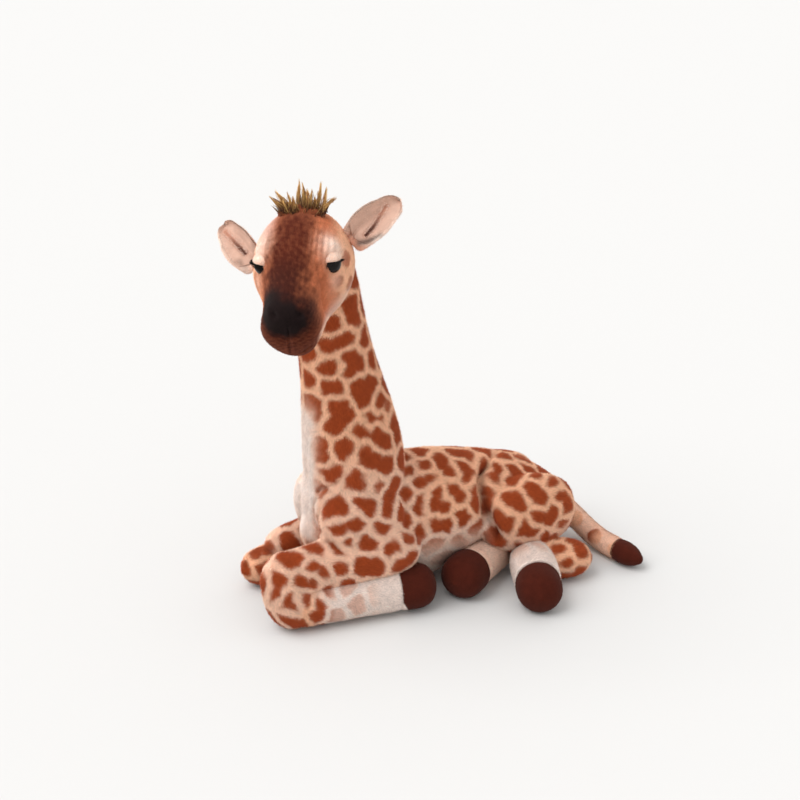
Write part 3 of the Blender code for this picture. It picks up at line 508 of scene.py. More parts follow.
LEFT_KNEE = np.array((0.044, -0.139, 0.0249))
RIGHT_KNEE = np.array((-0.044, -0.139, 0.0211))
LEFT_RUN = unit(heading(82.0) * 0.130 + Z * (0.0232 - 0.0246))
RIGHT_RUN = unit(heading(82.0, -1.0) * 0.130 + Z * (0.0205 - 0.0208))
LEFT_STIFLE = np.array((0.0615, 0.123, 0.0231))
RIGHT_STIFLE = np.array((0.002, 0.137, 0.0203))
LEFT_CANNON = heading(-22.0)
RIGHT_CANNON = unit(heading(-56.5) * 0.116 + Z * (0.0232 - 0.0200))
# Lower legs: ball end, run, length to the middle of the hoof, radius at the ball and at the hoof,
# then the hoof: its name, its radius and the property that holds its length
LEGS = {
    "foreleg_left": (
        LEFT_KNEE, LEFT_RUN, 0.130, 0.0246, 0.0218, "foreleg_left_hoof", 0.0232, "hoof_length"),
    "foreleg_right": (
        RIGHT_KNEE, RIGHT_RUN, 0.130, 0.0208, 0.0188, "foreleg_right_hoof", 0.0205, "hoof_length"),
    "cannon_left": (
        LEFT_STIFLE, LEFT_CANNON, 0.066, 0.0228, 0.0228, "hindhoof_left", 0.0232, "hind_hoof_length"),
    "cannon_right": (
        RIGHT_STIFLE, RIGHT_CANNON, 0.116, 0.0200, 0.0200, "hindhoof_right", 0.0232, "hind_hoof_length")}
# Ovals sewn to the trunk: middle, half length, half width, half height, cap
SHOULDERS = (
    ((0.034, -0.058, 0.092), 0.047, 0.027, 0.044, 0.0094),
    ((-0.034, -0.058, 0.092), 0.047, 0.027, 0.044, 0.0094))
THIGHS = (
    ((0.041, 0.126, 0.065), 0.057, 0.033, 0.046, 0.0114),
    ((-0.041, 0.126, 0.058), 0.057, 0.033, 0.042, 0.0114))
# Forearms: knee end, elbow end, radius at each, share of the swelling half way along
FOREARM_LENGTH = 0.112
LEFT_FOREARM = LEFT_KNEE + np.array((-0.006, -0.003, 0.0285))
FOREARMS = (
    (LEFT_FOREARM, LEFT_FOREARM + np.array((0.006, FOREARM_LENGTH, 0.0072)), 0.0250, 0.0300, 0.1),
    (RIGHT_KNEE + np.array((0.0, FOREARM_LENGTH * 0.22, 0.019)),
     RIGHT_KNEE + np.array((0.0018, FOREARM_LENGTH, 0.030)), 0.0188, 0.0260, 0.4))
FOREARM_FLATNESS = 0.94
# The breast fills what lies between the shoulders and the neck: middle, half width, half depth
BREAST = (((0.0, -0.056, 0.066), 0.052, 0.043), ((-0.002, -0.057, 0.100), 0.0575, 0.0465),
          ((-0.001, -0.055, 0.134), 0.0505, 0.0465))
BREAST_CAP = 0.020
# One bulb of stuffing over the folded near knee: middle and radius of each end
KNEE_BULB = ((LEFT_KNEE + np.array((0.0, -0.0005, 0.0006)), 0.0256), (LEFT_FOREARM, 0.0254))
# Shanks: stifle, heading in degrees, length, radius
SHANKS = ((np.array((0.0615, 0.123, 0.0211)), 67.0, 0.042, 0.0208), (RIGHT_STIFLE, 154.0, 0.036, 0.0186))
TAIL_ROOT = np.array((0.0, 0.192, 0.042))
TAIL_ASIDE = 0.075
TAIL_BACK = 0.032
TAIL_RADIUS = 0.0118
# The tail's tip: length, radius, height of its middle, how far it laps over the tail, rings as shares
TIP_LENGTH = 0.030
TIP_RADIUS = 0.0126
TIP_HEIGHT = 0.0129
TIP_LAP = 0.004
TIP_RINGS = ((-0.12, 0.90), (0.35, 1.0), (0.75, 0.84), (1.0, 0.44))


def oval(centre, along, length, wide, high):
    """Three rings of an ellipsoid."""
    shares = np.array((-0.72, 0.0, 0.72))
    shrink = np.sqrt(1.0 - shares ** 2)
    return [(centre + along * length * share, wide * thin, high * thin)
            for share, thin in zip(shares, shrink)]


def straight(start, aim, length, first, second):
    """Three rings of a limb that tapers over its first part."""
    shares = (0.0, 0.5, 1.0)
    radii = [first + (second - first) * min(share * 1.8, 1.0) for share in shares]
    return [(start + aim * length * share, radius, radius) for share, radius in zip(shares, radii)]


def torso_rows():
    """Control rows of the torso, lowered until it rests just under the floor."""
    rows = [(np.array((0.0, TORSO_LENGTH * along + TORSO_START, TORSO_HEIGHT * height)),
             TORSO_HALF_WIDTH * wide, TORSO_HEIGHT * high) for along, height, wide, high in TORSO_RINGS]
    cap = TORSO_LENGTH * TORSO_RINGS[0][0]
    made = control_rows(rows, X, (cap, cap))
    made[:, 2] -= loft(made, 0.004)[0][:, 2].min() + 0.0005
    return made


def neck_rows():
    """Control rows of the neck, from the ball in the shoulders to the ball in the head."""
    rows = [(NECK_FOOT + (NECK_TOP - NECK_FOOT) * np.array((0.0, lean, up)), NECK_RADIUS * wide,
             NECK_RADIUS * deep) for up, lean, wide, deep in NECK_RINGS]
    return control_rows(rows, X, (NECK_RADIUS, NECK_TOP_RADIUS), (62.0, 32.0))


def head_rows():
    """Control rows of the head, from the nape to the nose."""
    rows = []
    for along, wide, high, drop in HEAD_RINGS:
        reach = MUZZLE if along > 0.0 else SKULL_BACK / 0.60
        centre = on_head(reach * along, 0.0, -SKULL_HEIGHT * drop)
        rows.append((centre, SKULL_WIDTH * wide, SKULL_HEIGHT * high))
    return control_rows(rows, HEAD_LEFT, (SKULL_BACK * 0.5, MUZZLE * 0.11 * 1.15))


def forearm_rows(knee, elbow, first, second, half_way):
    """Control rows of a forearm that swells from the knee to the elbow."""
    rows = []
    for share, swelling in ((0.0, 0.0), (0.5, half_way), (1.0, 1.0)):
        radius = first + (second - first) * swelling
        rows.append((knee + (elbow - knee) * share, radius * FOREARM_FLATNESS, radius))
    return control_rows(rows, X, (first, second))


def oval_rows(ovals):
    """Control rows of each oval of a table."""
    return [control_rows(oval(np.array(middle), Y, *halves), X, (cap, cap)) for middle, *halves, cap in ovals]


def hide_forms():
    """Control rows of every form that the one hide covers."""
    bulb = [(middle, radius, radius) for middle, radius in KNEE_BULB]
    forms = [torso_rows(), neck_rows(), *oval_rows(SHOULDERS), *(forearm_rows(*row) for row in FOREARMS),
             *oval_rows(THIGHS), control_rows(BREAST, X, (BREAST_CAP, BREAST_CAP)),
             control_rows(bulb, X, (bulb[0][1], bulb[1][1]))]
    for stifle, degrees, length, radius in SHANKS:
        shank = [(stifle + heading(degrees) * length * share, radius, radius) for share in (0.0, 1.0)]
        forms.append(control_rows(shank, Z, (radius, radius)))
    return forms


def length_of(name, default, description, **limits):
    """A length in metres that a user may change."""
    return FloatProperty(name=name, description=description, default=default, unit="LENGTH", **limits)


def angle_of(name, degrees, description):
    """An angle that a user may change."""
    return FloatProperty(name=name, description=description, default=math.radians(degrees), subtype="ANGLE")


def strength_of(name, default, description):
    """A light's strength that a user may change."""
    return FloatProperty(name=name, description=description, default=default, min=0.0)


def colour_of(name, default, description):
    """A colour that a user may change."""
    return FloatVectorProperty(name=name, description=description, default=default, size=3, subtype="COLOR",
                               min=0.0, max=1.0)


class GIRAFFE_PG_stage(PropertyGroup):
    azimuth: angle_of("Camera azimuth", 65.0, "Angle round the toy from its front")
    elevation: angle_of("Camera elevation", 25.0, "Angle above the floor")
    distance: length_of("Camera distance", 1.60, "From the point looked at", min=0.3)
    target_height: length_of("Target height", 0.202, "Height of the point looked at")
    lens: FloatProperty(
        name="Lens", description="Focal length on a 36 mm film", default=72.0, min=10.0, unit="CAMERA")
    floor_colour: colour_of("Floor", (0.69, 0.69, 0.685), "Colour of the floor")
    key: strength_of("Key light", 2.1, "Strength of the wide soft key")
    key_spread: angle_of("Key spread", 50.0, "How wide the key is seen")
    sky: strength_of("Room light", 0.86, "Strength of the even light")


class GIRAFFE_PG_coat(PropertyGroup):
    cream: colour_of("Cream", (0.87, 0.50, 0.315), "Net between the patches")
    patch: colour_of("Patch", (0.36, 0.062, 0.016), "Red brown patches")
    pale: colour_of("Pale", (0.84, 0.71, 0.64), "Throat, belly and lower legs")
    # Side, middle and nose also paint shade: the haunch's crease, the ears' folds and rolled edges
    side: colour_of("Face side", (0.58, 0.175, 0.078), "Orange tan of the cheeks")
    stripe: colour_of("Face middle", (0.085, 0.014, 0.006), "Dark brown of the forehead and bridge")
    nose: colour_of("Nose", (0.012, 0.006, 0.006), "Nose and lips")
    hoof: colour_of("Hoof", (0.070, 0.011, 0.005), "Hooves and tail tip")
    lining: colour_of("Ear lining", (0.62, 0.40, 0.31), "Cloth inside the ears")
    pile_length: length_of("Pile length", 0.0036, "Length of one blade of pile")
    pile_width: length_of("Pile width", 0.0008, "Width of one blade at its root")
    pile_spacing: length_of("Pile spacing", 0.00072, "Mean distance between blades")
    patch_gap: length_of("Net width", 0.0046, "Width of the cream net")
    patch_reach: length_of("Patch reach", 0.0155, "Largest reach of a patch from its points")
    patch_spacing: length_of("Patch spacing", 0.024, "Distance between patches on the unseen sides")


class GIRAFFE_PG_form(PropertyGroup):
    skin_step: length_of("Skin step", 0.0022, "Spacing of the skins' points")
    hide_voxel: length_of("Hide voxel", 0.0022, "Cell size where the forms are sewn into one hide")
    hide_softening: IntProperty(
        name="Hide softening", description="Rounds of smoothing where the forms meet", default=8, min=0)
    fuller: length_of("Fuller", 0.0002, "How far a skin stands outside its form")
    lump: length_of("Stuffing lumps", 0.0006, "Height of the stuffing's soft lumps")
    hoof_length: length_of("Hoof length", 0.022, "Seam to the middle of a fore hoof")
    hind_hoof_length: length_of("Hind hoof length", 0.020, "Seam to the middle of a hind hoof")
    ear_length: length_of("Ear length", 0.059, "Root to tip")
    ear_half_width: length_of("Ear half width", 0.0178, "Half of the leaf's width")
    eye_radius: length_of("Eye radius", 0.0094, "Of the domed bead")
    tuft_strands: IntProperty(
        name="Strands in a tuft", description="Long strands in each tuft of the forelock", default=46, min=1)


def settings():
    """Sizes of the form, colours of the coat and values of the stage."""
    scene = bpy.context.scene
    return scene.giraffe_form, scene.giraffe_coat, scene.giraffe_stage


def finish_piece(item, body, nodes, look):
    """Give a piece its material and body, and hide the nodes that it stands for."""
    item.data.materials.clear()
    item.data.materials.append(look)
    if body is not None:
        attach(item, body)
    if nodes:
        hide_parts(*nodes)
    return item


# Materials

LAYERS = ("Patch", "Side", "Stripe", "Nose", "Pale")
MASKS = [layer + " mask" for layer in LAYERS]
WHITE = (1.0, 1.0, 1.0, 1.0)


def set_inputs(tree, node, values):
    """Give a node's inputs their values: a socket is linked, and anything else is set."""
    for key, value in values.items():
        if isinstance(value, bpy.types.NodeSocket):
            tree.links.new(value, node.inputs[key])
        else:
            node.inputs[key].default_value = value


def add_node(tree, kind, values=None, **settings_made):
    """A node with its settings made and its inputs filled."""
    node = tree.nodes.new(kind)
    for key, value in settings_made.items():
        setattr(node, key, value)
    set_inputs(tree, node, values or {})
    return node


def noise(tree, scale, **values):
    """Noise on the piece's own coordinates."""
    place = add_node(tree, "ShaderNodeTexCoord").outputs["Object"]
    return add_node(tree, "ShaderNodeTexNoise", {"Vector": place, "Scale": scale, **values}).outputs["Fac"]


def ranged(tree, source, low, high):
    """A share from 0 to 1 spread from low to high."""
    values = {"Value": source, "To Min": low, "To Max": high}
    return add_node(tree, "ShaderNodeMapRange", values).outputs["Result"]


def maths(tree, operation, first, second):
    """One sum of two numbers."""
    return add_node(tree, "ShaderNodeMath", {0: first, 1: second}, operation=operation).outputs["Value"]


def mixed(tree, share, first, second):
    """A colour between two, by a share from 0 to 1."""
    values = {"Factor": share, "A": first, "B": second}
    return add_node(tree, "ShaderNodeMix", values, data_type="RGBA").outputs["Result"]


def carried(tree, name):
    """The number that the piece's points carry under a name."""
    return add_node(tree, "ShaderNodeAttribute", attribute_name=name).outputs["Fac"]


def raised(tree, height, **values):
    """A normal tilted by the slope of a height."""
    return add_node(tree, "ShaderNodeBump", {"Height": height, **values}).outputs["Normal"]


def new_look(name, values):
    """A material, its node tree and its shader with these constants."""
    made = bpy.data.materials.new(name)
    made.use_nodes = True
    shader = made.node_tree.nodes["Principled BSDF"]
    set_inputs(made.node_tree, shader, values)
    return made, made.node_tree, shader


def plush_group():
    """Colour of pile: the cream net with each layer mixed over it by its mask.

    It is darker at the root and brighter at the tip, which is painted shade deep in the pile.
    It is uneven from strand to strand, over a broad mottle and a fine grain.
    """
    found = bpy.data.node_groups.get("plush_colour")
    if found:
        return found
    group = bpy.data.node_groups.new("plush_colour", "ShaderNodeTree")
    for way, kind, names in (
            ("INPUT", "Color", ("Cream", *LAYERS)), ("INPUT", "Float", (*MASKS, "Strand", "Tip")),
            ("OUTPUT", "Color", ("Colour",)), ("OUTPUT", "Float", ("Height",))):
        for name in names:
            group.interface.new_socket(name=name, in_out=way, socket_type="NodeSocket" + kind)
    given = add_node(group, "NodeGroupInput").outputs
    colour = given["Cream"]
    for layer, mask in zip(LAYERS, MASKS):
        colour = mixed(group, given[mask], colour, given[layer])
    grain = noise(group, 1300.0, Detail=2.0)
    # painted shade: each blade's root is darker and its tip brighter than the colour itself
    shade = ranged(group, given["Tip"], 0.90, 1.32)
    for source, low, high in ((given["Strand"], 0.82, 1.18), (noise(group, 150.0, Detail=3.0), 0.80, 1.20),
                              (grain, 0.90, 1.10)):
        shade = maths(group, "MULTIPLY", shade, ranged(group, source, low, high))
    tinted = add_node(group, "ShaderNodeVectorMath", operation="SCALE")
    set_inputs(group, tinted, {0: colour, "Scale": shade})
    add_node(group, "NodeGroupOutput", {"Colour": tinted.outputs["Vector"], "Height": grain})
    return group


def plush_look(name, coat, base="cream"):
    """Pile over a base colour, with the layers that the piece's own masks give."""
    found = bpy.data.materials.get(name)
    if found:
        return found
    made, tree, shader = new_look(name, {
        "Roughness": 0.9, "Specular IOR Level": 0.12, "Sheen Weight": 0.04, "Sheen Roughness": 0.55,
        "Sheen Tint": (1.0, 0.90, 0.82, 1.0)})
    values = {"Cream": (*getattr(coat, base), 1.0)}
    for layer, mask in zip(LAYERS, MASKS):
        values[layer] = (*getattr(coat, layer.lower()), 1.0)
        values[mask] = carried(tree, layer.lower())
    values["Strand"], values["Tip"] = carried(tree, "strand"), carried(tree, "tip")
    group = add_node(tree, "ShaderNodeGroup", values, node_tree=plush_group()).outputs
    normal = raised(tree, group["Height"], Distance=0.0003, Strength=0.5)
    set_inputs(tree, shader, {"Base Color": group["Colour"], "Normal": normal})
    return made


def plain_look(name, colour, roughness, scale, bump):
    """Plastic or thread: a fine noise for the surface and a broad one for wear."""
    made, tree, shader = new_look(name, {"Roughness": roughness, "Specular IOR Level": 0.2})
    fine = noise(tree, scale, Detail=3.0)
    share = maths(tree, "MULTIPLY", maths(tree, "ADD", fine, noise(tree, 60.0)), 0.5)
    tone = mixed(tree, share, (*[part * 0.72 for part in colour], 1.0),
                 (*[min(part * 1.25, 1.0) for part in colour], 1.0))
    set_inputs(tree, shader, {"Base Color": tone, "Normal": raised(tree, fine, Distance=bump)})
    return made


def bead_look():
    """Polished black plastic with the faintest scratches."""
    made, tree, shader = new_look("eye_bead", {
        "Base Color": (0.008, 0.005, 0.004, 1.0), "Specular IOR Level": 0.15})
    set_inputs(tree, shader, {"Roughness": ranged(tree, noise(tree, 900.0), 0.14, 0.24)})
    return made


def hair_look():
    """Coarse golden brown hair, its own tone in each strand, with painted shade near black at the band."""
    made, tree, shader = new_look("forelock_hair", {"Roughness": 0.5, "Specular IOR Level": 0.3})
    end = mixed(tree, carried(tree, "strand"), (0.30, 0.10, 0.028, 1.0), (0.95, 0.60, 0.20, 1.0))
    tone = mixed(tree, carried(tree, "tip"), (0.085, 0.026, 0.012, 1.0), end)
    set_inputs(tree, shader, {"Base Color": tone})
    return made


# Stage

FLOOR_HALF = 9.0
ROOM_TINT = (1.0, 0.985, 0.97, 1.0)
# Where the key shines from: right, up and back of the camera
KEY_PLACE = (-0.75, 0.9, 0.75)


class GIRAFFE_OT_stage(Operator):
    """Camera at the photograph's angle, pale floor, a soft key lamp and an even room light"""

    bl_idname = "giraffe.stage"
    bl_label = "Stage"

    def execute(self, context):
        stage, scene = settings()[2], context.scene
        scene.view_settings.view_transform = "Standard"
        right, up, back, place = view_axes(stage)
        camera = bpy.data.objects.new("camera", bpy.data.cameras.new("camera"))
        camera.data.lens = stage.lens
        camera.data.sensor_width = FILM_WIDTH
        camera.data.sensor_fit = "HORIZONTAL"
        camera.data.clip_start = 0.05
        turn = Matrix((right, up, back)).transposed().to_4x4()
        camera.matrix_world = Matrix.Translation(Vector(place)) @ turn
        scene.collection.objects.link(camera)
        scene.camera = camera
        mesh = bpy.data.meshes.new("floor")
        ends = (-FLOOR_HALF, FLOOR_HALF)
        mesh.from_pydata([(x, y, 0.0) for x in ends for y in ends], [], [(0, 2, 3, 1)])
        floor = bpy.data.objects.new("floor", mesh)
        scene.collection.objects.link(floor)
        mesh.materials.append(new_look("floor", {
            "Base Color": (*stage.floor_colour, 1.0), "Roughness": 0.9, "Specular IOR Level": 0.1})[0])
        lamp = bpy.data.lights.new("key", "SUN")
        lamp.energy, lamp.angle = stage.key, stage.key_spread
        item = bpy.data.objects.new("key", lamp)
        shine = Vector(right * KEY_PLACE[0] + up * KEY_PLACE[1] + back * KEY_PLACE[2])
        item.rotation_euler = shine.to_track_quat("Z", "Y").to_euler()
        item.location = shine
        scene.collection.objects.link(item)
        scene.world = bpy.data.worlds.new("room")
        scene.world.use_nodes = True
        tree = scene.world.node_tree
        tree.nodes.clear()
        room = add_node(tree, "ShaderNodeBackground", {"Color": ROOM_TINT, "Strength": stage.sky})
        white = add_node(tree, "ShaderNodeBackground", {"Color": WHITE, "Strength": 1.0})
        ray = add_node(tree, "ShaderNodeLightPath").outputs
        seen = maths(tree, "MAXIMUM", ray["Is Camera Ray"], ray["Is Glossy Ray"])
        seen = maths(tree, "MAXIMUM", seen, ray["Is Transmission Ray"])
        mix = add_node(tree, "ShaderNodeMixShader", {
            "Fac": seen, 1: room.outputs["Background"], 2: white.outputs["Background"]})
        add_node(tree, "ShaderNodeOutputWorld", {"Surface": mix.outputs["Shader"]})
        return {"FINISHED"}


# Body, legs and tail

class GIRAFFE_OT_hide(Operator):
    """One sewn hide over the torso, neck, shoulders, forearms, thighs and shanks"""

    bl_idname = "giraffe.hide"
    bl_label = "Hide"

    def execute(self, context):
        form, _, stage = settings()
        points, corners, sizes, shift = [], [], [], 0
        for rows in hide_forms():
            own, size = loft(rows, FORM_STEP)
            own_corners, own_sizes, uv = closed_grid(size)
            points.append(own)
            corners.append(turned_out(own, own_corners, own_sizes, uv)[0] + shift)
            sizes.append(own_sizes)
            shift += len(own)
        hide = new_object("hide", np.vstack(points), np.concatenate(corners), np.concatenate(sizes))
        sewn = hide.modifiers.new("sewn", "REMESH")
        sewn.mode = "VOXEL"
        sewn.voxel_size = form.hide_voxel
        sewn.use_smooth_shade = True
        soft = hide.modifiers.new("soft", "SMOOTH")
        soft.factor = 0.5
        soft.iterations = form.hide_softening
        apply_modifiers(hide)
        if len(hide.data.polygons) < 1000:
            raise RuntimeError("the hide came out empty")
        swell(hide, lambda points: np.full(len(points), form.fuller))
        lumpy(hide, form.lump, 0.05, 3)
        crease(hide, BODY_CREASES, stage)
        settle(hide)
        # the haunch's crease, kept for the painted shade laid along it
        lines["haunch"] = on_skin(hide, BODY_CREASES[0][0], stage)
        remember(hide, "hide")
        return {"FINISHED"}


class GIRAFFE_OT_legs(Operator):
    """Lower forelegs and hind cannons, each from its ball end to its hoof seam"""

    bl_idname = "giraffe.legs"
    bl_label = "Lower legs"

    def execute(self, context):
        form, _, stage = settings()
        for name, (pivot, run, length, first, second, _, _, hoof) in LEGS.items():
            seam = length - getattr(form, hoof)
            rows = control_rows(straight(pivot, run, length, first, second), Z, (first, second))
            item = closed_object(name + "_skin", *loft(rows, form.skin_step))
            points, normals, _ = arrays(item)
            points = points + normals * form.fuller
            if name == "cannon_left":
                fullest = on_skin(item, CANNON_SWELLING, stage).mean(0)
                points = points + normals * (0.0018 * hill(points, fullest, 0.016))[:, None]
            # past the hoof's seam the leg is a flat end inside the hoof
            past = (points - pivot) @ run - seam
            points = points - run * np.maximum(past, 0.0)[:, None]
            middle = pivot + run * seam
            points = np.where((past > 0.0)[:, None], middle + (points - middle) * 0.9, points)
            set_points(item, points)
            lumpy(item, form.lump * 0.8, 0.04, 5)
            settle(item)
            remember(item, "leg")
        return {"FINISHED"}


class GIRAFFE_OT_hooves(Operator):
    """Four blunt velour hooves, a little fuller than the legs and pulled in at the seam"""

    bl_idname = "giraffe.hooves"
    bl_label = "Hooves"

    def execute(self, context):
        form = settings()[0]
        for pivot, run, length, _, _, name, radius, hoof in LEGS.values():
            hoof = getattr(form, hoof)
            seam = pivot + run * (length - hoof)
            rings = ((0.0004, 0.90), (0.0040, 0.985), (hoof * 0.6, 1.0), (hoof * 1.12, 1.0))
            stations = [(seam + run * reach, radius * share, radius * share) for reach, share in rings]
            rows = control_rows(stations, Z, (0.002, radius * 0.74), (58.0, 30.0))
            stuffed(name + "_skin", rows, form.skin_step * 0.8, "hoof", form.lump * 0.5, 0.03, 7)
        return {"FINISHED"}


class GIRAFFE_OT_tail(Operator):
    """Tail that curls over the floor and its dark tip"""

    bl_idname = "giraffe.tail"
    bl_label = "Tail"

    def execute(self, context):
        form = settings()[0]
        rise = TAIL_ROOT[2] - TAIL_RADIUS - 0.0006
        stations = [(TAIL_ROOT + np.array((TAIL_ASIDE * aside, TAIL_BACK * back, rise * (height - 1.0))),
                     TAIL_RADIUS * wide, TAIL_RADIUS * wide) for aside, back, height, wide in TAIL_RINGS]
        rows = control_rows(stations, Z, (TAIL_RADIUS, 0.002))
        stuffed("tail_skin", rows, form.skin_step * 0.8, "tail", form.lump * 0.5, 0.03, 8)
        end = stations[-1][0]
        aim = unit((end - stations[-2][0]) * np.array((1.0, 1.0, 0.0)))
        foot = end - aim * TIP_LAP + Z * (TIP_HEIGHT - end[2])
        tip = [(foot + aim * TIP_LENGTH * share, TIP_RADIUS * wide, TIP_RADIUS * wide)
               for share, wide in TIP_RINGS]
        stuffed("tail_tip_skin", control_rows(tip, Z, (0.003, 0.004)), form.skin_step * 0.7, "hoof")
        return {"FINISHED"}


# Head, ears, eyes and forelock

BROW_PAD = (-0.0085, 0.0005, 0.0090)
# Hills and hollows of the face: height, place as forward, aside and up, reach. These lie round each eye
EYE_HILLS = (
    (-0.0030, (0.002, 0.003, -0.001), 0.0105), (0.0044, BROW_PAD, 0.0095),
    (0.0016, (-0.002, -0.007, 0.0130), 0.0090), (0.0012, (0.006, -0.001, -0.016), 0.012),
    (0.0022, (0.0065, 0.0, -0.0085), 0.0065))
# A rim and a hollow for each nostril, and the upper lip, from the muzzle's middle
MUZZLE_MIDDLE = np.array((0.0, -0.002, 0.0))
MUZZLE_HILLS = (
    (0.0022, (0.0865, 0.0155, 0.0245), 0.0085), (-0.0030, (0.0885, 0.0115, 0.0205), 0.0036),
    (0.0020, (0.083, 0.021, -0.002), 0.013))
# A full crown under the forelock, and a muzzle that leans to its right and rounds off under its left
FACE_HILLS = (
    (0.0038, (-0.012, 0.0, 0.044), 0.026), (-0.0048, (0.084, 0.024, -0.026), 0.015),
    (0.0030, (0.083, -0.026, -0.012), 0.016))
GATHERS = ((0.022, 0.0215, 0.037), (0.022, -0.026, 0.035))
GATHER_WIDTH = 0.0042
# Creases of the head: pixels, depth and half width
HEAD_CREASES = ((CHEEK_SEAM, 0.0016, 0.0018), (MOUTH_SEAM, 0.0016, 0.0014), (LIPS, 0.0020, 0.0017))
# Ears: side, fold's side, then root, direction and face as shares of the head's axes
EARS = (
    ("left", 1.0, (-0.17, 0.90, 0.30), (-0.53, 0.765, 0.365), (0.64, 0.08, 0.765)),
    ("right", -1.0, (0.00, -0.98, -0.16), (-0.72, -0.60, 0.20), (0.46, -0.30, 0.84)))
# Leaves of an ear: start as a share of its length, width, thickness, lift, rings, points in a ring
EAR_SKIN = (0.0, 1.0, 0.0030, 0.0, 44, 72)
EAR_LINING = (0.10, 0.91, 0.0016, 0.0017, 48, 80)
EAR_ROUNDS_FROM = 0.76
EYE_DEPTH = 0.0045
BEAD_STEM = 0.002
BEAD_BACK = -0.0085
LID_THICKNESS = 0.0009
LID_SWING = 80.0
LASHES = 70
# The forelock's band: half length, half width and half height
BAND = (0.021, 0.0078, 0.0048)
UNDERGROWTH = 170
STRAND_STEPS = 6


def eye_axes(flip):
    """Centre, sideways, upward and outward of an eye."""
    forward, aside, rise = EYE_SHARES
    outward = unit(HEAD_FORWARD * forward * 0.9 + HEAD_LEFT * aside * flip + HEAD_UP * rise * 0.9)
    reach = math.hypot(aside * SKULL_WIDTH, rise * SKULL_HEIGHT)
    aim = unit(HEAD_LEFT * aside * SKULL_WIDTH * flip + HEAD_UP * rise * SKULL_HEIGHT)
    surface = on_head(MUZZLE * forward, 0.0, 0.0) + aim * reach * 1.10
    high = unit(HEAD_UP - outward * (HEAD_UP @ outward))
    return surface - outward * EYE_DEPTH, np.cross(high, outward), high, outward


def eye_place(flip):
    """An eye's centre as forward, left and up on the head."""
    eye = eye_axes(flip)[0] - HEAD_CENTRE
    return np.array((eye @ HEAD_FORWARD, eye @ HEAD_LEFT, eye @ HEAD_UP))


def inner_side(wide, flip):
    """1 if an eye's sideways axis points to its inner corner, and -1 if it points away."""
    return np.sign(wide @ (HEAD_FORWARD - HEAD_LEFT * flip))


def lid_axes(flip):
    """The eye's axes turned about its outward one, so that the inner corner stands higher."""
    centre, wide, high, out = eye_axes(flip)
    turn = math.radians(24.0 if flip > 0.0 else 14.0)
    inner = inner_side(wide, flip) * math.sin(turn)
    return centre, wide * math.cos(turn) + high * inner, high * math.cos(turn) - wide * inner, out


def hills(own, table, middle=0.0, flip=1.0):
    """Sum of height * hill over a table, whose places are measured from a middle and mirrored by flip."""
    mirror = np.array((1.0, flip, 1.0))
    return sum(height * hill(own, middle + np.array(place) * mirror, reach) for height, place, reach in table)


def gathers(own, reach):
    """Where the cloth is gathered beside the brows, from 0 to 1, and the wave of its folds."""
    beside = sum(hill(own, np.array(place), reach) for place in GATHERS)
    return np.minimum(beside, 1.0), np.sin(own[:, 1] / GATHER_WIDTH * 2.0 * math.pi)


def head_shape(points, normals):
    """Sculpt the face: soft hills and hollows along the normals, in the head's own measures."""
    f, l, u = head_places(points)
    own = np.stack([f, l, u], 1)
    move = hills(own, FACE_HILLS)
    for _, flip in SIDES:
        move += hills(own, EYE_HILLS, eye_place(flip), flip) + hills(own, MUZZLE_HILLS, MUZZLE_MIDDLE, flip)
    # the jaw draws in behind the muzzle
    jaw = smooth(0.028, 0.056, f) * smooth(0.034, 0.016, u)
    move -= 0.0050 * jaw * smooth(0.014, 0.030, l) + 0.0012 * jaw * smooth(0.014, 0.030, -l)
    beside, wave = gathers(own, 0.013)
    move += 0.0008 * wave * beside
    lean = 0.0006 * smooth(0.045, 0.085, f)
    return points + normals * move[:, None] - HEAD_LEFT * lean[:, None]


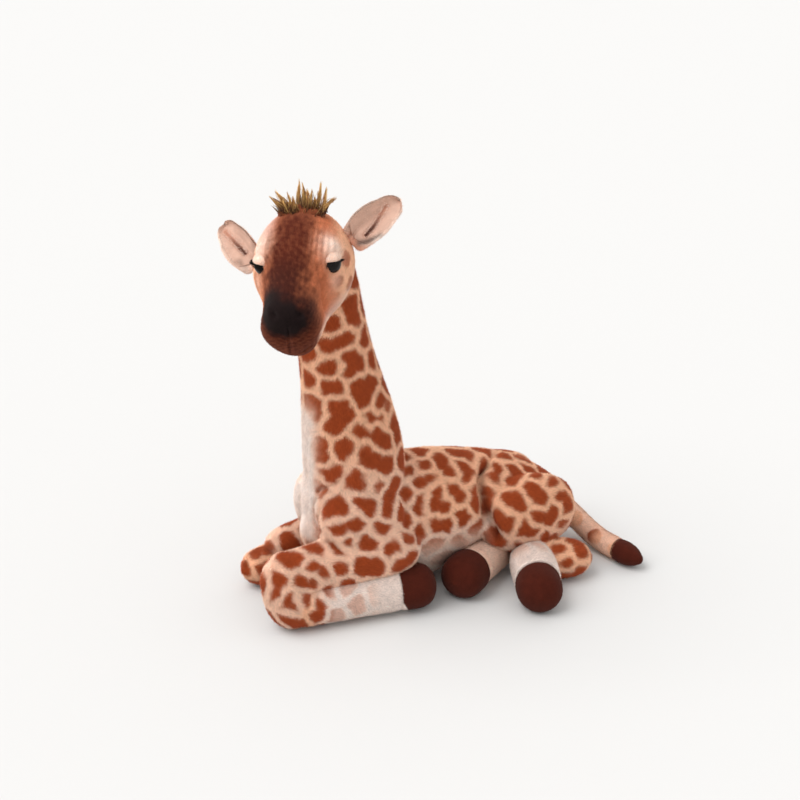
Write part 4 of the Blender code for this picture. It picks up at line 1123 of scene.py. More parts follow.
def face_masks(points):
    """The face's colours from the head's own measures.

    A dark stripe runs down the middle with orange beside it, the brows and jaw are pale, and a black nose
    stands over a dark muzzle.
    """
    f, l, u = head_places(points)
    own = np.stack([f, l, u], 1)
    wobble = ripple(points, 0.010, 21)
    middle = np.interp(f, (0.0, 0.04, 0.06), (-0.002, -0.004, -0.0075))
    half = np.interp(f, (-0.01, 0.005, 0.04, 0.06, 0.075), (0.0185, 0.0215, 0.0230, 0.0230, 0.0235))
    stripe = smooth(1.50, 0.36, np.abs(l - middle) / half + 0.22 * wobble)
    stripe *= 0.95 + 0.05 * smooth(0.02, 0.05, f)
    stripe *= smooth(-0.030, 0.002, f + 0.003 * wobble)
    stripe *= smooth(0.004, 0.018, u + 0.4 * np.maximum(f - 0.05, 0.0))
    muzzle = smooth(0.064, 0.080, f)
    stripe = np.maximum(stripe, 0.90 * smooth(0.036, 0.023, np.abs(l + 0.005) + 0.002 * wobble) * muzzle)
    stripe = np.clip(stripe + 0.16 * ripple(points, 0.0042, 91) * smooth(0.0, 0.2, stripe), 0.0, 1.0)
    bridge = 0.45 * stripe * smooth(0.025, 0.062, f) * smooth(-0.002, 0.010, u)
    nose_gap = np.hypot((l + 0.0062) / 0.0250, (u - 0.0160) / 0.0170) + 0.09 * wobble
    nose = np.maximum(smooth(1.35, 0.70, nose_gap) * smooth(0.050, 0.072, f), bridge)
    for seam, strength, width in (("lips", 0.9, 0.0013), ("mouth", 0.8, 0.0009)):
        nose = np.maximum(nose, strength * near_line(points, lines[seam], width))
    side = smooth(-0.034, -0.012, f + 0.004 * wobble) * smooth(-0.030, -0.012, u)
    side *= smooth(0.042, 0.025, np.abs(l + 0.001) + 0.002 * wobble)
    side = np.maximum(side, muzzle * smooth(0.036, 0.027, np.abs(l + 0.003)))
    pale = np.zeros(len(points))
    for _, flip in SIDES:
        eye, mirror = eye_place(flip), np.array((1.0, flip, 1.0))
        brow = eye + np.array(BROW_PAD) * mirror
        side *= 1.0 - 0.85 * np.minimum(1.3 * hill(own, brow, 0.0105), 1.0)
        tuft = 0.85 + 0.30 * ripple(points, 0.0035, 92)
        pale = np.maximum(pale, np.minimum(1.1 * hill(own, brow, 0.0110), 0.80) * tuft)
        pale = np.maximum(pale, 0.22 * hill(own, eye + np.array((0.010, 0.003, -0.012)) * mirror, 0.008))
    beside, wave = gathers(own, 0.015)
    side *= 1.0 - 0.30 * beside * (0.5 + 0.5 * wave)
    far_cheek = smooth(-0.014, -0.030, l) * smooth(0.030, 0.010, f) * smooth(0.010, 0.030, u)
    pale = np.maximum(pale, 0.5 * far_cheek)
    pale = np.maximum(pale, 0.4 * smooth(0.000, -0.020, u) * (1.0 - muzzle))
    return {"side": side, "stripe": stripe, "nose": nose, "pale": pale * (1.0 - stripe) * (1.0 - nose)}


class GIRAFFE_OT_head(Operator):
    """Head with brows, cheeks, nostrils and the seam of the mouth"""

    bl_idname = "giraffe.head"
    bl_label = "Head"

    def execute(self, context):
        form, _, stage = settings()
        item = closed_object("head_skin", *loft(head_rows(), form.skin_step * 0.55))
        points, normals, _ = arrays(item)
        points = points + normals * form.fuller
        set_points(item, head_shape(points, normals))
        lumpy(item, form.lump * 0.5, 0.035, 9)
        for seam, pixels in (("mouth", MOUTH_SEAM), ("lips", LIPS)):
            lines[seam] = on_skin(item, pixels, stage)
            if not len(lines[seam]):
                raise RuntimeError("no ray met the head at the " + seam)
        crease(item, HEAD_CREASES, stage)
        remember(item, "head")
        return {"FINISHED"}


def ear_axes(root_shares, along_shares, face_shares):
    """An ear's root, the way to its tip, the way its hollow faces, and the way across it."""
    root = on_head(SKULL_BACK * root_shares[0], SKULL_WIDTH * root_shares[1], SKULL_HEIGHT * root_shares[2])
    mix = np.array((HEAD_FORWARD, HEAD_LEFT, HEAD_UP))
    along = unit(np.array(along_shares) @ mix)
    face = np.array(face_shares) @ mix
    face = unit(face - along * (face @ along))
    return root, along, face, np.cross(along, face)


def ear_leaf(form, axes, fold, start, shrink, thick, lift, count, columns):
    """S(s, v): s runs from root to tip and v round the leaf's section.

    The width follows the table, the edges rise by the cup, and the walls stand half a thickness either way.
    """
    root, along, face, across = axes
    s = np.linspace(start, 1.0, count)
    table = np.array(EAR_WIDTHS)
    wide = np.interp(np.minimum(s, EAR_ROUNDS_FROM), table[:, 0], table[:, 1])
    wide = np.convolve(np.pad(wide, 3, mode="edge"), np.ones(7) / 7.0, "valid")
    turn = np.linspace(0.0, 2.0 * math.pi, columns, endpoint=False)
    swing, rise = np.cos(turn), np.sin(turn)
    swing = (np.sign(swing) * np.abs(swing) ** 0.8)[None]
    taper = np.sqrt(1.0 - np.clip((s - EAR_ROUNDS_FROM) / (1.0 - EAR_ROUNDS_FROM), 0.0, 1.0) ** 2)
    taper = taper * np.clip((s - start) / 0.10 + 0.45 * (start == 0.0), 0.0, 1.0) ** 0.5
    out = form.ear_half_width * wide * shrink * np.maximum(taper, 0.02)
    cup = 0.009 * np.minimum(np.minimum(s / 0.3, wide * 1.1), 1.0)
    reach = form.ear_length * 1.02 * np.where(s < 1.0, s, 1.0 - (1.0 - shrink) * 0.3)
    height = (swing * shrink) ** 2 * cup[:, None]
    # a crease runs up the middle from the root
    height = height - 0.0030 * np.exp(-((swing + 0.20 * fold) / 0.16) ** 2) * smooth(0.86, 0.55, s)[:, None]
    # one edge rolls over into a fold
    rolled = np.clip((-swing * fold - 0.45) / 0.55, 0.0, 1.0) ** 1.5
    height = height + 0.0035 * rolled * np.sin(np.clip(s, 0.0, 1.0) * math.pi)[:, None]
    height = height - (0.006 * s * s)[:, None] + lift * (1.0 - 0.8 * swing ** 4)
    height = height + rise[None] * thick * 0.5 * np.maximum(taper, 0.3)[:, None]
    aside = out[:, None] * swing + 0.0030 * fold * rolled
    grid = root + along * reach[:, None, None] + across * aside[..., None] + face * height[..., None]
    return capped(grid), (count, columns)


class GIRAFFE_OT_ears(Operator):
    """Two cupped ears with a folded edge and a smooth lining"""

    bl_idname = "giraffe.ears"
    bl_label = "Ears"

    def execute(self, context):
        form, _, stage = settings()
        for side, fold, *shares in EARS:
            axes = ear_axes(*shares)
            item = closed_object("ear_skin_" + side, *ear_leaf(form, axes, fold, *EAR_SKIN))
            remember(item, "ear")
            lines["ear_" + side + "_band"] = on_skin(item, EAR_CREASES[side]["band"], stage)
            item = closed_object("ear_lining_" + side, *ear_leaf(form, axes, fold, *EAR_LINING))
            lines["ear_" + side + "_fold"] = on_skin(item, EAR_CREASES[side]["fold"], stage)
            crease(item, [(EAR_CREASES[side]["fold"], 0.0024, 0.0024)], stage)
            remember(item, "lining")
        return {"FINISHED"}


def bead_surface(centre, wide, high, out, radius):
    """Half a sphere with a flat back, drawn in to a stem that ends in the head."""
    lift = np.linspace(0.0, math.pi / 2.0, 20)
    turn = np.linspace(0.0, 2.0 * math.pi, 48, endpoint=False)
    ring = np.concatenate([radius * np.sin(lift), np.linspace(radius, BEAD_STEM, 6)[1:], [BEAD_STEM, 0.0]])
    deep = np.concatenate([radius * np.cos(lift), np.full(5, -0.0001), [BEAD_BACK, BEAD_BACK]])
    round_it = wide * np.cos(turn)[:, None] + high * np.sin(turn)[:, None]
    return capped(centre + ring[:, None, None] * round_it + deep[:, None, None] * out), (len(ring), len(turn))


def lid_surface(centre, wide, high, out, radius):
    """S(a, b) on a sphere a little larger than the bead, closed as a thin shell.

    b runs across the lid, and a runs from its edge over to the back.
    """
    count, columns = 26, 60
    turn = np.linspace(0.0, 2.0 * math.pi, columns, endpoint=False)
    swing = np.linspace(-LID_SWING, LID_SWING, count)
    bow = np.cos(np.radians(swing) * 0.9)
    open_edge = np.radians(3.0 + 8.0 * (np.abs(swing) / LID_SWING) ** 2)
    back_edge = np.radians(112.0)
    middle = (open_edge + back_edge) * 0.5
    half = (back_edge - open_edge) * 0.5 * np.maximum(bow, 0.05)
    lift = (middle[:, None] - half[:, None] * np.cos(turn)[None])[..., None]
    wall = LID_THICKNESS * np.sin(turn)[None] * np.maximum(bow, 0.1)[:, None]
    swing = np.radians(swing)[:, None, None]
    spoke = (out * np.cos(lift) + high * np.sin(lift)) * np.cos(swing) + wide * np.sin(swing)
    return capped(centre + spoke * (radius + LID_THICKNESS + wall)[..., None]), (count, columns)


def lash_paths(axes, flip, radius, random):
    """Lashes fan out and down from the lid's edge, longer towards the inner corner, with tips that curl."""
    centre, wide, high, out = axes
    swing = np.radians(np.linspace(-66.0, 66.0, LASHES) + random.uniform(-1.5, 1.5, LASHES))
    tilt = math.radians(4.0)
    sine, cosine = np.sin(swing)[:, None], np.cos(swing)[:, None]
    ahead = out * math.cos(tilt) + high * math.sin(tilt)
    foot = centre + (radius + 0.0007) * (ahead * cosine + wide * sine)
    down = unit(-high * 0.85 + out * 0.35)
    inner = inner_side(wide, flip) * np.sin(swing)
    reach = 0.0040 * (0.75 + 0.4 * random.random(LASHES)) * (0.85 + 0.40 * inner)
    curve = np.array((0.0, 0.33, 0.66, 1.0))
    aim = unit(unit(foot - centre) * 0.55 + down * 0.85 + wide * (0.55 * sine))
    curl = (out * 0.0012 + high * 0.0006) * (curve ** 2)[:, None]
    return foot[:, None] + aim[:, None] * (curve[None, :, None] * reach[:, None, None]) + curl


def cells(count):
    """Low corners of equal square cells that share the unit square, and the side of one cell."""
    across = int(math.ceil(math.sqrt(count)))
    number = np.arange(count)
    return np.stack([number % across, number // across], 1) / across, 1.0 / across


def strand_object(name, path, root, tip):
    """Three-sided strands whose thickness falls evenly from root to tip.

    The paths are strands by steps by 3. Each strand has a cell of its own in the UV square.
    """
    strands, steps = path.shape[:2]
    tangent = unit(np.gradient(path, axis=1))
    aside = unit(np.cross(tangent, np.array((0.31, 0.17, 0.93))))
    over = np.cross(tangent, aside)
    radius = np.linspace(root, tip, steps)[None, :, None, None]
    turn = np.radians((0.0, 120.0, 240.0))[None, None, :, None]
    ring = path[:, :, None] + radius * (aside[:, :, None] * np.cos(turn) + over[:, :, None] * np.sin(turn))
    points = ring.reshape(-1, 3)
    base = (np.arange(strands) * steps * 3)[:, None, None]
    first = base + (np.arange(steps - 1) * 3)[None, :, None]
    a, b = first + np.arange(3), first + (np.arange(3) + 1) % 3
    quads = np.stack([a, b, b + 3, a + 3], -1).reshape(-1, 4)
    foot = base[:, 0]
    corners = np.concatenate([
        quads.ravel(), (foot + np.array((2, 1, 0))).ravel(), (foot + np.arange(3) + (steps - 1) * 3).ravel()])
    sizes = np.repeat((4, 3), (len(quads), 2 * strands))
    cell, side = cells(strands)
    inside = 0.8 * side
    along, lane = np.repeat(np.arange(steps - 1), 3), np.tile(np.arange(3), steps - 1)
    left, right = lane / 3.0, (lane + 1) / 3.0
    low, high = along / (steps - 1), (along + 1) / (steps - 1)
    local = np.stack([left, low, right, low, right, high, left, high], 1).reshape(1, -1, 4, 2)
    small = np.array(((0.0, 0.0), (0.05, 0.0), (0.0, 0.05)))[None]
    uv = np.concatenate([
        (cell[:, None, None] + local * inside).ravel(), (cell[:, None] + small * inside).ravel(),
        (cell[:, None] + (small + np.array((0.0, 0.95))) * inside).ravel()])
    corners, uv = turned_out(points, corners, sizes, uv)
    return new_object(name, points, corners, sizes, uv)


class GIRAFFE_OT_eyes(Operator):
    """Domed beads with their washers, half-closed lids and drooping lashes"""

    bl_idname = "giraffe.eyes"
    bl_label = "Eyes"

    def execute(self, context):
        radius = settings()[0].eye_radius
        bead = bead_look()
        washer = plain_look("washer_plastic", (0.62, 0.62, 0.59), 0.45, 700.0, 0.00005)
        thread = plain_look("lash_thread", (0.006, 0.004, 0.0035), 0.85, 1500.0, 0.0001)
        random = np.random.default_rng(31)
        for side, flip in SIDES:
            axes = lid_axes(flip)
            item = closed_object("eye_bead_" + side, *bead_surface(*axes, radius))
            finish_piece(item, "head_body", ["eye_" + side], bead)
            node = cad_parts["eye_washer_" + side]
            node.data.materials.clear()
            node.data.materials.append(washer)
            remember(closed_object("lid_" + side, *lid_surface(*axes, radius)), "lid")
            path = lash_paths(axes, flip, radius, random)
            item = strand_object("lash_strands_" + side, path, 0.00042, 0.00012)
            finish_piece(item, "head_body", ["lashes_" + side], thread)
        return {"FINISHED"}


def tuft_path(ends, back, count, random):
    """Strands of one tuft: they part at the band, meet near the tip and bow a little to one side."""
    foot, tip = ends
    foot = foot - HEAD_UP * 0.002
    shift = random.uniform(-0.006, 0.006)
    foot, tip = foot + back * shift, tip + back * (shift * 1.8 + random.uniform(-0.004, 0.004))
    spread = random.normal(size=(count, 3)) * 0.0019
    ending = random.normal(size=(count, 3)) * 0.0005
    length = random.uniform(0.62, 1.0, count)[:, None, None]
    step = np.linspace(0.0, 1.0, STRAND_STEPS)[None, :, None]
    bow = random.normal(size=3) * 0.0016
    return (foot + spread[:, None] * (1.0 - step) ** 0.7 + (tip - foot) * step * length
            + ending[:, None] * step + bow * np.sin(step * math.pi))


class GIRAFFE_OT_forelock(Operator):
    """Dark sewn band across the poll with its tufts of long strands"""

    bl_idname = "giraffe.forelock"
    bl_label = "Forelock"

    def execute(self, context):
        form, _, stage = settings()
        middle = on_head(-0.016, 0.0, SKULL_HEIGHT * 0.93 + 0.0004)
        rows = control_rows(oval(middle, HEAD_LEFT, *BAND), HEAD_FORWARD, (0.0042, 0.0042))
        remember(closed_object("forelock_band", *loft(rows, 0.0012)), "band")
        random = np.random.default_rng(41)
        right, up, back, place = view_axes(stage)
        depth = (middle - place) @ -back
        scale = depth / focal_length(stage)
        paths = []
        for tip, foot in TUFTS:
            ends = [place - back * depth + (right * (x - PICTURE / 2.0) - up * (y - PICTURE / 2.0)) * scale
                    for x, y in (foot, tip)]
            paths.append(tuft_path(ends, back, form.tuft_strands, random))
        # short undergrowth between the tufts
        count = UNDERGROWTH
        share = random.uniform(-0.95, 0.95, count)[:, None]
        foot = middle + HEAD_LEFT * BAND[0] * share + HEAD_FORWARD * random.normal(size=(count, 1)) * 0.0030
        aim = unit(HEAD_UP + HEAD_LEFT * (share * 0.55 + random.normal(size=(count, 1)) * 0.22)
                   + HEAD_FORWARD * random.normal(size=(count, 1)) * 0.30)
        share = np.linspace(0.0, 1.0, STRAND_STEPS)
        reach = random.uniform(0.005, 0.012, count)[:, None, None]
        paths.append((foot + HEAD_UP * 0.001)[:, None] + aim[:, None] * share[None, :, None] * reach)
        item = strand_object("forelock_strands", np.concatenate(paths), 0.00046, 0.00009)
        strands = sum(len(path) for path in paths)
        # the short undergrowth keeps more of the painted shade at the roots
        most = np.concatenate([np.ones(strands - count), np.full(count, 0.45)])
        tip = most[:, None] * np.repeat(smooth(0.10, 0.75, share), 3)[None]
        carry(item, tip=tip.ravel(), strand=np.repeat(random.random(strands), STRAND_STEPS * 3))
        finish_piece(item, "head_body", ["forelock"], hair_look())
        return {"FINISHED"}


# Patches and pile

# Points worked on at once
BATCH = 20000
# How far the edges of the patches wander, over which scale, and the seeds of the three directions
EDGE_WANDER = 0.0024
EDGE_SCALE = 0.016
EDGE_SEEDS = (11, 12, 13)


class PatchMap:
    """Brown cells parted by a cream net.

    A point is brown where it is nearer to its own patch's points than to any other's by more than the net.
    """

    def __init__(self):
        """Start with no patch."""
        self.points = np.zeros((0, 3))
        self.group = np.zeros(0, int)

    def add(self, points):
        """Take some points as the next patch."""
        number = self.group.max() + 1 if len(self.group) else 0
        self.points = np.vstack([self.points, points])
        self.group = np.concatenate([self.group, np.full(len(points), number)])

    def mask(self, points, gap, reach, soft):
        """1 inside a patch and 0 in the cream net."""
        wander = np.stack([ripple(points, EDGE_SCALE, seed, 3) for seed in EDGE_SEEDS], 1)
        bent = points + EDGE_WANDER * wander
        made = np.zeros(len(points))
        groups = self.group.max() + 1
        for start in range(0, len(points), BATCH):
            some = bent[start:start + BATCH]
            far = (some ** 2).sum(1)[:, None] + (self.points ** 2).sum(1)[None] - 2.0 * some @ self.points.T
            far = np.sqrt(np.maximum(far, 0.0))
            best = np.full((len(some), groups), 1.0)
            for number, column in enumerate(self.group):
                best[:, column] = np.minimum(best[:, column], far[:, number])
            nearest = np.partition(best, 1, axis=1)[:, :2]
            edge = np.minimum((nearest[:, 1] - nearest[:, 0]) * 0.5 - gap * 0.5, reach - nearest[:, 0])
            inside = smooth(-soft, soft * 1.5, edge)
            made[start:start + BATCH] = inside * (0.90 + 0.10 * smooth(0.0, 0.004, edge))
        return made


patches = PatchMap()


def cast_patches(stage):
    """Put each patch's pixels onto the skins. Returns the skins' points, where more patches may go."""
    kinds = ("hide", "leg", "tail", "head")
    points, tree = skin_tree([bpy.data.objects[name] for name, kind in skins.items() if kind in kinds])
    for pixels in PATCHES:
        found = cast(tree, pixels, stage)
        if len(found):
            patches.add(found)
    return points


def spread_patches(coat, candidates):
    """Fill the unseen sides by dart throwing.

    Each new patch is a candidate point at least a spacing from all others. One or two near points
    draw it out.
    """
    random = np.random.default_rng(52)
    taken = list(patches.points)
    for spot in candidates[random.permutation(len(candidates))]:
        nearest = np.min(np.linalg.norm(np.array(taken) - spot, axis=1))
        if nearest < coat.patch_spacing * random.uniform(0.84, 1.12):
            continue
        near = candidates[np.linalg.norm(candidates - spot, axis=1) < coat.patch_spacing * 0.34]
        extra = near[random.integers(0, len(near), random.integers(1, 3))]
        patches.add(np.vstack([spot[None], extra]))
        taken.extend([spot, *extra])


def body_masks(points, normals, coat):
    """Patches of the body, and where it turns pale: the throat and chest, the belly and the lower legs."""
    x, y, z = points.T
    patch = patches.mask(points, coat.patch_gap, coat.patch_reach, 0.0014)
    wobble = ripple(points, 0.014, 32)
    throat = smooth(0.30, 0.90, 0.10 * wobble - normals[:, 1]) * smooth(-0.02, -0.05, y)
    middle = np.interp(z, (0.09, 0.15), (-0.016, -0.005))
    wide = np.interp(z, (0.09, 0.15), (0.046, 0.032))
    throat *= smooth(0.0, -0.020, np.abs(x - middle) + 0.003 * wobble - wide)
    throat *= smooth(0.240, 0.200, z + 0.006 * ripple(points, 0.02, 33))
    chest = smooth(0.060, 0.085, z) * throat
    belly = smooth(0.074, 0.046, z + 0.004 * wobble) * smooth(-0.060, -0.020, y) * smooth(0.085, 0.060, y)
    belly *= smooth(0.062, 0.054, np.abs(x))
    pale = np.maximum(chest, 0.75 * belly)
    under = smooth(0.2, -0.7, normals[:, 2]) * 0.5
    pale = np.maximum(pale, under * smooth(0.13, 0.08, z))
    pale = np.maximum(pale, 0.30 * smooth(0.20, 0.12, z) * smooth(0.03, -0.02, y))
    pale = np.maximum(pale, 0.55 * smooth(0.090, 0.060, z + 0.005 * wobble) * smooth(-0.040, -0.015, y)
                      * smooth(0.095, 0.070, y) * smooth(0.066, 0.058, np.abs(x)))
    patch = patch * (1.0 - 0.90 * chest) * (1.0 - 0.55 * belly)
    return patch, pale * (1.0 - patch)


# Where the near foreleg's hoof cloth begins: down the leg, and the height at which its slant crosses that
HOOF_CLOTH = 0.108
HOOF_CLOTH_HEIGHT = 0.022


def slant(points):
    """Metres past the slanted edge where the near foreleg's hoof cloth begins."""
    return (points - LEFT_KNEE) @ LEFT_RUN - HOOF_CLOTH + 0.5 * (points[:, 2] - HOOF_CLOTH_HEIGHT)


def leg_masks(name, points, coat):
    """White shins and cannons, with patches that fade away below the knee and hock."""
    patch = patches.mask(points, coat.patch_gap, coat.patch_reach * 0.9, 0.0010)
    pivot, run = LEGS[name][:2]
    down = (points - pivot) @ run
    if name.startswith("foreleg"):
        fade, white = smooth(0.052, 0.026, down), smooth(0.008, 0.040, down)
        faint = 0.55 * smooth(0.090, 0.062, down)
    elif name == "cannon_left":
        fade, white = smooth(0.012, -0.004, down), smooth(-0.012, 0.006, down)
        faint = 0.42 * smooth(0.034, 0.014, down)
    else:
        fade, white = smooth(0.060, 0.030, down), 0.55 * smooth(0.004, 0.090, down)
        faint = 0.22
    patch = patch * np.maximum(fade, faint)
    return patch, white * (1.0 - patch)


def ear_masks(kind, name, points):
    """An ear: orange at the root, painted shadow along its band, painted shade along the lining's fold."""
    left = name.endswith("left")
    ear = "ear_left" if left else "ear_right"
    root = on_head(0.0, SKULL_WIDTH * (0.9 if left else -0.9), 0.010 if kind == "ear" else 0.006)
    away = np.linalg.norm(points - root, axis=1)
    # A painted shadow lies along the band, under the ear's rolled lower edge, darker on the left ear
    band = near_line(points, lines[ear + "_band"], 0.0030)
    if kind == "ear":
        side = 0.75 * smooth(0.030, 0.008, away)
        return {"side": side, "pale": 0.70 * (1.0 - side), "nose": (0.80 if left else 0.45) * band}
    fold = lines[ear + "_fold"]
    # Painted shade in the lining's fold: orange beside it, dark brown along it, near black towards the root.
    # The lining is also a darker brown near the root.
    low = smooth(0.052, 0.026, away)
    line = (0.50 + 0.45 * low) * near_line(points, fold, 0.0011 + 0.0014 * low)
    shade = 0.75 * low * near_line(points, fold, 0.0019)
    return {"side": 0.50 * near_line(points, fold, 0.0030),
            "stripe": np.maximum(0.40 * smooth(0.024, 0.008, away), line),
            "nose": np.maximum((0.85 if left else 0.45) * band, shade)}


def masks_for(kind, name, points, normals, coat):
    """Every mask that a plush piece carries, at any points on it."""
    none = np.zeros(len(points))
    made = {layer.lower(): none for layer in LAYERS}
    if kind == "hide":
        made["patch"], made["pale"] = body_masks(points, normals, coat)
        # painted shade in the haunch's crease
        made["stripe"] = 0.50 * near_line(points, lines["haunch"], 0.0046)
    elif kind == "leg":
        made["patch"], made["pale"] = leg_masks(name.replace("_skin", ""), points, coat)
        if name.startswith("foreleg_left"):
            made["stripe"] = smooth(-0.0006, 0.0006, slant(points))
    elif kind == "tail":
        patch = patches.mask(points, coat.patch_gap, coat.patch_reach * 0.6, 0.0010)
        made["patch"] = patch * np.exp(-((points[:, 0] - 0.038) / 0.011) ** 2)
        made["pale"] = 0.35 * (1.0 - patch)
    elif kind == "head":
        made.update(face_masks(points))
        patch = patches.mask(points, coat.patch_gap, coat.patch_reach * 0.42, 0.0011)
        made["patch"] = patch * (1.0 - made["side"]) * 0.75
    elif kind == "hoof" and name.startswith("foreleg_left"):
        made["pale"] = smooth(0.0006, -0.0006, slant(points))
    elif kind == "band":
        made["side"] = none + 0.35
    elif kind == "lid":
        centre, _, _, out = eye_axes(1.0 if name.endswith("left") else -1.0)
        inner = (points - centre) @ unit(HEAD_FORWARD - out * (HEAD_FORWARD @ out))
        made["side"] = 0.45 * smooth(0.000, 0.009, inner + 0.001 * ripple(points, 0.005, 77))
        made["pale"] = (0.60 + 0.25 * ripple(points, 0.004, 78)) * (1.0 - made["side"])
    elif kind in ("ear", "lining"):
        made.update(ear_masks(kind, name, points))
    return made


# Which way the pile is brushed where it isn't the head's or the hide's
TAIL_LAY = np.array((0.9, 0.3, -0.4))
LIMB_LAY = np.array((0.2, 0.8, -0.5))
# Pile of each kind of skin: spacing and length as shares, and how far it stands up in degrees
PILE = {
    "hide": (1.0, 1.0, 33.0), "leg": (1.0, 0.9, 31.0), "tail": (1.0, 0.85, 30.0), "head": (0.82, 0.62, 30.0),
    "ear": (0.9, 0.70, 30.0), "hoof": (0.95, 0.42, 36.0), "lid": (0.6, 0.62, 36.0), "band": (0.55, 0.7, 50.0)}
# A blade's root sinks into the skin, and none lies lower than this over the floor
BLADE_ROOT = 0.0003
# Nothing grows underneath, where the toy lies on the floor
UNDERSIDE = 0.0022


def lay_direction(kind, points, normals):
    """Which way the pile is brushed: down the neck, back along the trunk and legs, up the face."""
    if kind in ("head", "lid", "band"):
        aim = -HEAD_FORWARD * 0.8 + HEAD_UP * 0.2
    elif kind == "hide":
        trunk = smooth(0.17, 0.11, points[:, 2])[:, None]
        aim = trunk * np.array((0.0, 0.75, -0.65)) + (1.0 - trunk) * np.array((0.0, -0.05, -1.0))
    else:
        aim = TAIL_LAY if kind == "tail" else LIMB_LAY
    aim = np.broadcast_to(aim, points.shape)
    return unit(aim - normals * np.einsum("ij,ij->i", aim, normals)[:, None])


def scatter(item, spacing, random):
    """Even random points on a mesh: triangle by area, then a point in it."""
    points, normals, triangles = arrays(item)
    a, b, c = points[triangles[:, 0]], points[triangles[:, 1]], points[triangles[:, 2]]
    area = 0.5 * np.linalg.norm(np.cross(b - a, c - a), axis=1)
    reach = np.cumsum(area)
    count = int(reach[-1] / spacing ** 2)
    pick = np.searchsorted(reach, (np.arange(count) + random.random(count)) / count * reach[-1])
    pick = np.minimum(pick, len(triangles) - 1)
    r, s = np.sqrt(random.random(count)), random.random(count)
    weight = np.stack([1.0 - r, r * (1.0 - s), r * s], 1)[:, :, None]
    corner = triangles[pick]
    return (points[corner] * weight).sum(1), unit((normals[corner] * weight).sum(1))


def behind(foot):
    """Back, flanks and haunches, clear of the neck's blend."""
    return (foot[:, 1] > -0.014) & (foot[:, 2] < 0.15)


def below(foot):
    """Chest, shoulders and forearms, below the neck's blend."""
    return ~behind(foot) & (foot[:, 2] < 0.12)


def blended(foot):
    """Neck and withers."""
    return ~behind(foot) & (foot[:, 2] >= 0.12)


def make_pile(item, kind, coat, seed, name=None, where=None):
    """Blades of pile: each is a triangle from the skin along a leaning direction.

    Length, lean and side are a little random. A blade's normals are near the skin's, so it shades softly.
    """
    random = np.random.default_rng(seed)
    sparse, long, lean = PILE[kind]
    foot, normal = scatter(item, coat.pile_spacing * sparse, random)
    keep = ~((foot[:, 2] < UNDERSIDE) & (normal[:, 2] < -0.3))
    if where is not None:
        keep &= where(foot)
    foot, normal = foot[keep], normal[keep]
    lay = lay_direction(kind, foot, normal)
    count = len(foot)
    rise = np.radians(lean + random.normal(size=count) * 11.0)[:, None]
    sway = (random.normal(size=count) * 0.32)[:, None]
    aim = unit(lay * np.cos(rise) + normal * np.sin(rise) + np.cross(normal, lay) * sway)
    length = coat.pile_length * long * random.uniform(0.65, 1.15, count)[:, None]
    half = unit(np.cross(aim, normal)) * (coat.pile_width * 0.5)
    low = foot - normal * BLADE_ROOT
    points = np.stack([low - half, low + half, low + aim * length], 1)
    points[..., 2] = np.maximum(points[..., 2], BLADE_ROOT)
    cell, side = cells(count)
    uv = cell[:, None] + np.array(((0.1, 0.1), (0.9, 0.1), (0.5, 0.9)))[None] * side
    pile = new_object(
        name or item.name + "_pile", points.reshape(-1, 3), np.arange(count * 3), np.full(count, 3), uv)
    soft = unit(normal[:, None] + aim[:, None] * np.array((0.1, 0.1, 0.35))[None, :, None])
    pile.data.normals_split_custom_set_from_vertices(soft.reshape(-1, 3).astype(np.float32))
    made = masks_for(kind, item.name, foot, normal, coat)
    # 0 at a blade's root and 1 at its tip, for the painted shade that darkens the root
    tip = np.tile(np.array((0.0, 0.0, 1.0)), count)
    strand = np.repeat(random.random(count), 3)
    carry(pile, tip=tip, strand=strand, **{key: np.repeat(value, 3) for key, value in made.items()})
    return pile


HIDE_NODES = ("torso", "neck", "foreleg_left_upper", "foreleg_right_upper", "thigh_left", "thigh_right",
              "shank_left", "shank_right")
# Skin, body, node, slot and colour of the base
WEAR = {
    "foreleg_left_skin": ("foreleg_left_body", "foreleg_left_lower", "white_plush", "cream"),
    "foreleg_right_skin": ("foreleg_right_body", "foreleg_right_lower", "white_plush", "cream"),
    "cannon_left_skin": ("hindleg_left_body", "cannon_left", "white_plush", "cream"),
    "cannon_right_skin": ("torso_body", "cannon_right", "white_plush", "cream"),
    "foreleg_left_hoof_skin": ("foreleg_left_body", "foreleg_left_hoof", "hoof_plush", "hoof"),
    "foreleg_right_hoof_skin": ("foreleg_right_body", "foreleg_right_hoof", "hoof_plush", "hoof"),
    "hindhoof_left_skin": ("hindleg_left_body", "hindhoof_left", "hoof_plush", "hoof"),
    "hindhoof_right_skin": ("torso_body", "hindhoof_right", "hoof_plush", "hoof"),
    "tail_skin": ("tail_body", "tail", "tan_plush", "cream"),
    "tail_tip_skin": ("tail_body", "tail_tip", "hoof_plush", "hoof"),
    "head_skin": ("head_body", "head", "face_plush", "cream"),
    "ear_skin_left": ("ear_left_body", "ear_left_outer", "tan_plush", "cream"),
    "ear_skin_right": ("ear_right_body", "ear_right_outer", "tan_plush", "cream"),
    "ear_lining_left": ("ear_left_body", "ear_left_lining", "ear_lining_cloth", "lining"),
    "ear_lining_right": ("ear_right_body", "ear_right_lining", "ear_lining_cloth", "lining"),
    "lid_left": ("head_body", "eyelid_left", "eyelid_cloth", "cream"),
    "lid_right": ("head_body", "eyelid_right", "eyelid_cloth", "cream"),
    "forelock_band": ("head_body", None, "forelock_hair", "stripe")}
# The skin under the pile carries the painted shade of a blade a quarter of the way to its tip
SKIN_TIP = 0.25
SKIN_STRAND = 0.5
PATCH_CANDIDATES = 9000


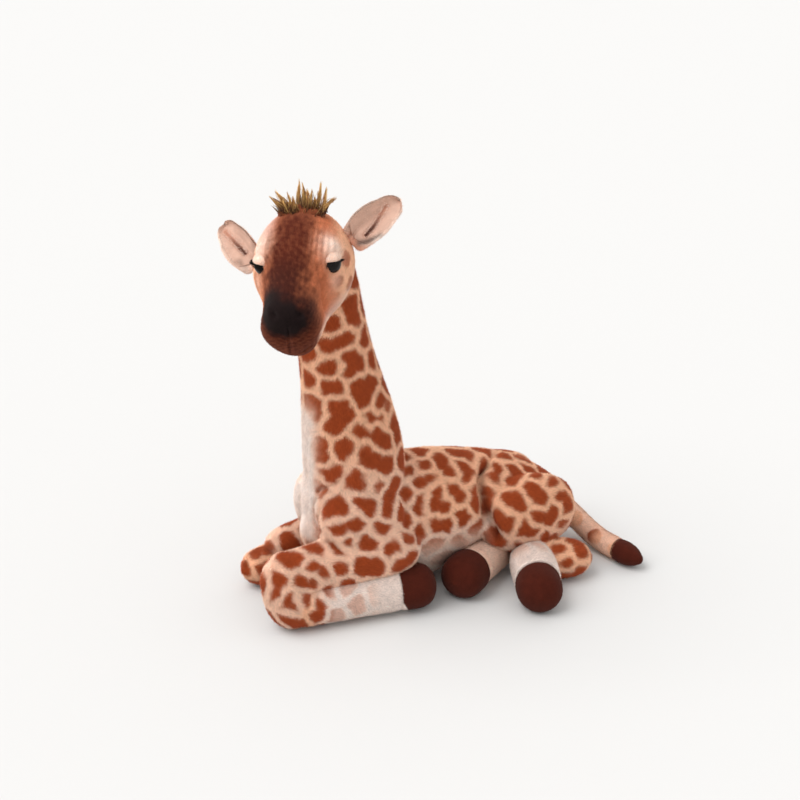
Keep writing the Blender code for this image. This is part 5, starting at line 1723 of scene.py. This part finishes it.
class GIRAFFE_OT_coat(Operator):
    """Patches and pile over every skin, and what each skin stands for"""

    bl_idname = "giraffe.coat"
    bl_label = "Coat"

    def execute(self, context):
        _, coat, stage = settings()
        if "hide" not in skins:
            raise RuntimeError("make the hide before its coat")
        points = cast_patches(stage)
        random = np.random.default_rng(61)
        spread_patches(coat, points[random.permutation(len(points))[:PATCH_CANDIDATES]])
        for seed, (name, kind) in enumerate(skins.items()):
            item = bpy.data.objects[name]
            skin_points, normals, _ = arrays(item)
            carry(item, tip=SKIN_TIP, strand=SKIN_STRAND, **masks_for(kind, name, skin_points, normals, coat))
            if kind == "hide":
                look = plush_look("coat_plush", coat)
                finish_piece(item, None, HIDE_NODES, look)
                for number, (share, where) in enumerate((("pile_rear", behind), ("pile_chest", below))):
                    pile = make_pile(item, kind, coat, 100 * (number + 1) + seed, share, where)
                    finish_piece(pile, "torso_body", None, look)
                pile = make_pile(item, kind, coat, 300 + seed, "pile_neck", blended)
                finish_piece(pile, None, None, look)
                for piece in (item, pile):
                    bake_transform(piece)
                continue
            body, node, slot, base = WEAR[name]
            look = plush_look(base + "_plush_look", coat, base)
            finish_piece(item, body, [node] if node else None, look)
            if kind in PILE:
                pile = make_pile(item, kind, coat, 100 + seed)
                finish_piece(pile, body, None, look)
        return {"FINISHED"}


STEPS = (
    GIRAFFE_OT_stage, GIRAFFE_OT_hide, GIRAFFE_OT_legs, GIRAFFE_OT_hooves, GIRAFFE_OT_tail, GIRAFFE_OT_head,
    GIRAFFE_OT_ears, GIRAFFE_OT_eyes, GIRAFFE_OT_forelock, GIRAFFE_OT_coat)


class GIRAFFE_PT_panel(Panel):
    """Lists the steps that make the toy"""

    bl_label = "Plush giraffe"
    bl_idname = "GIRAFFE_PT_panel"
    bl_space_type = "VIEW_3D"
    bl_region_type = "UI"
    bl_category = "Giraffe"

    def draw(self, context):
        """One button for each step, then every setting."""
        for step in STEPS:
            self.layout.operator(step.bl_idname)
        for group in settings():
            box = self.layout.box()
            for name in group.bl_rna.properties.keys():
                if name not in ("rna_type", "name"):
                    box.prop(group, name)


CLASSES = (GIRAFFE_PG_stage, GIRAFFE_PG_coat, GIRAFFE_PG_form, *STEPS, GIRAFFE_PT_panel)


def register():
    """Register every class and hang the settings on the scene."""
    for item in CLASSES:
        bpy.utils.register_class(item)
    bpy.types.Scene.giraffe_stage = PointerProperty(type=GIRAFFE_PG_stage)
    bpy.types.Scene.giraffe_coat = PointerProperty(type=GIRAFFE_PG_coat)
    bpy.types.Scene.giraffe_form = PointerProperty(type=GIRAFFE_PG_form)


def unregister():
    """Undo what register did."""
    del bpy.types.Scene.giraffe_form
    del bpy.types.Scene.giraffe_coat
    del bpy.types.Scene.giraffe_stage
    for item in reversed(CLASSES):
        bpy.utils.unregister_class(item)


def main():
    """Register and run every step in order."""
    register()
    for step in STEPS:
        operator = getattr(bpy.ops.giraffe, step.bl_idname.split(".")[1])
        if "FINISHED" not in operator():
            raise RuntimeError(step.bl_label + " didn't finish")


if __name__ == "__main__":
    main()
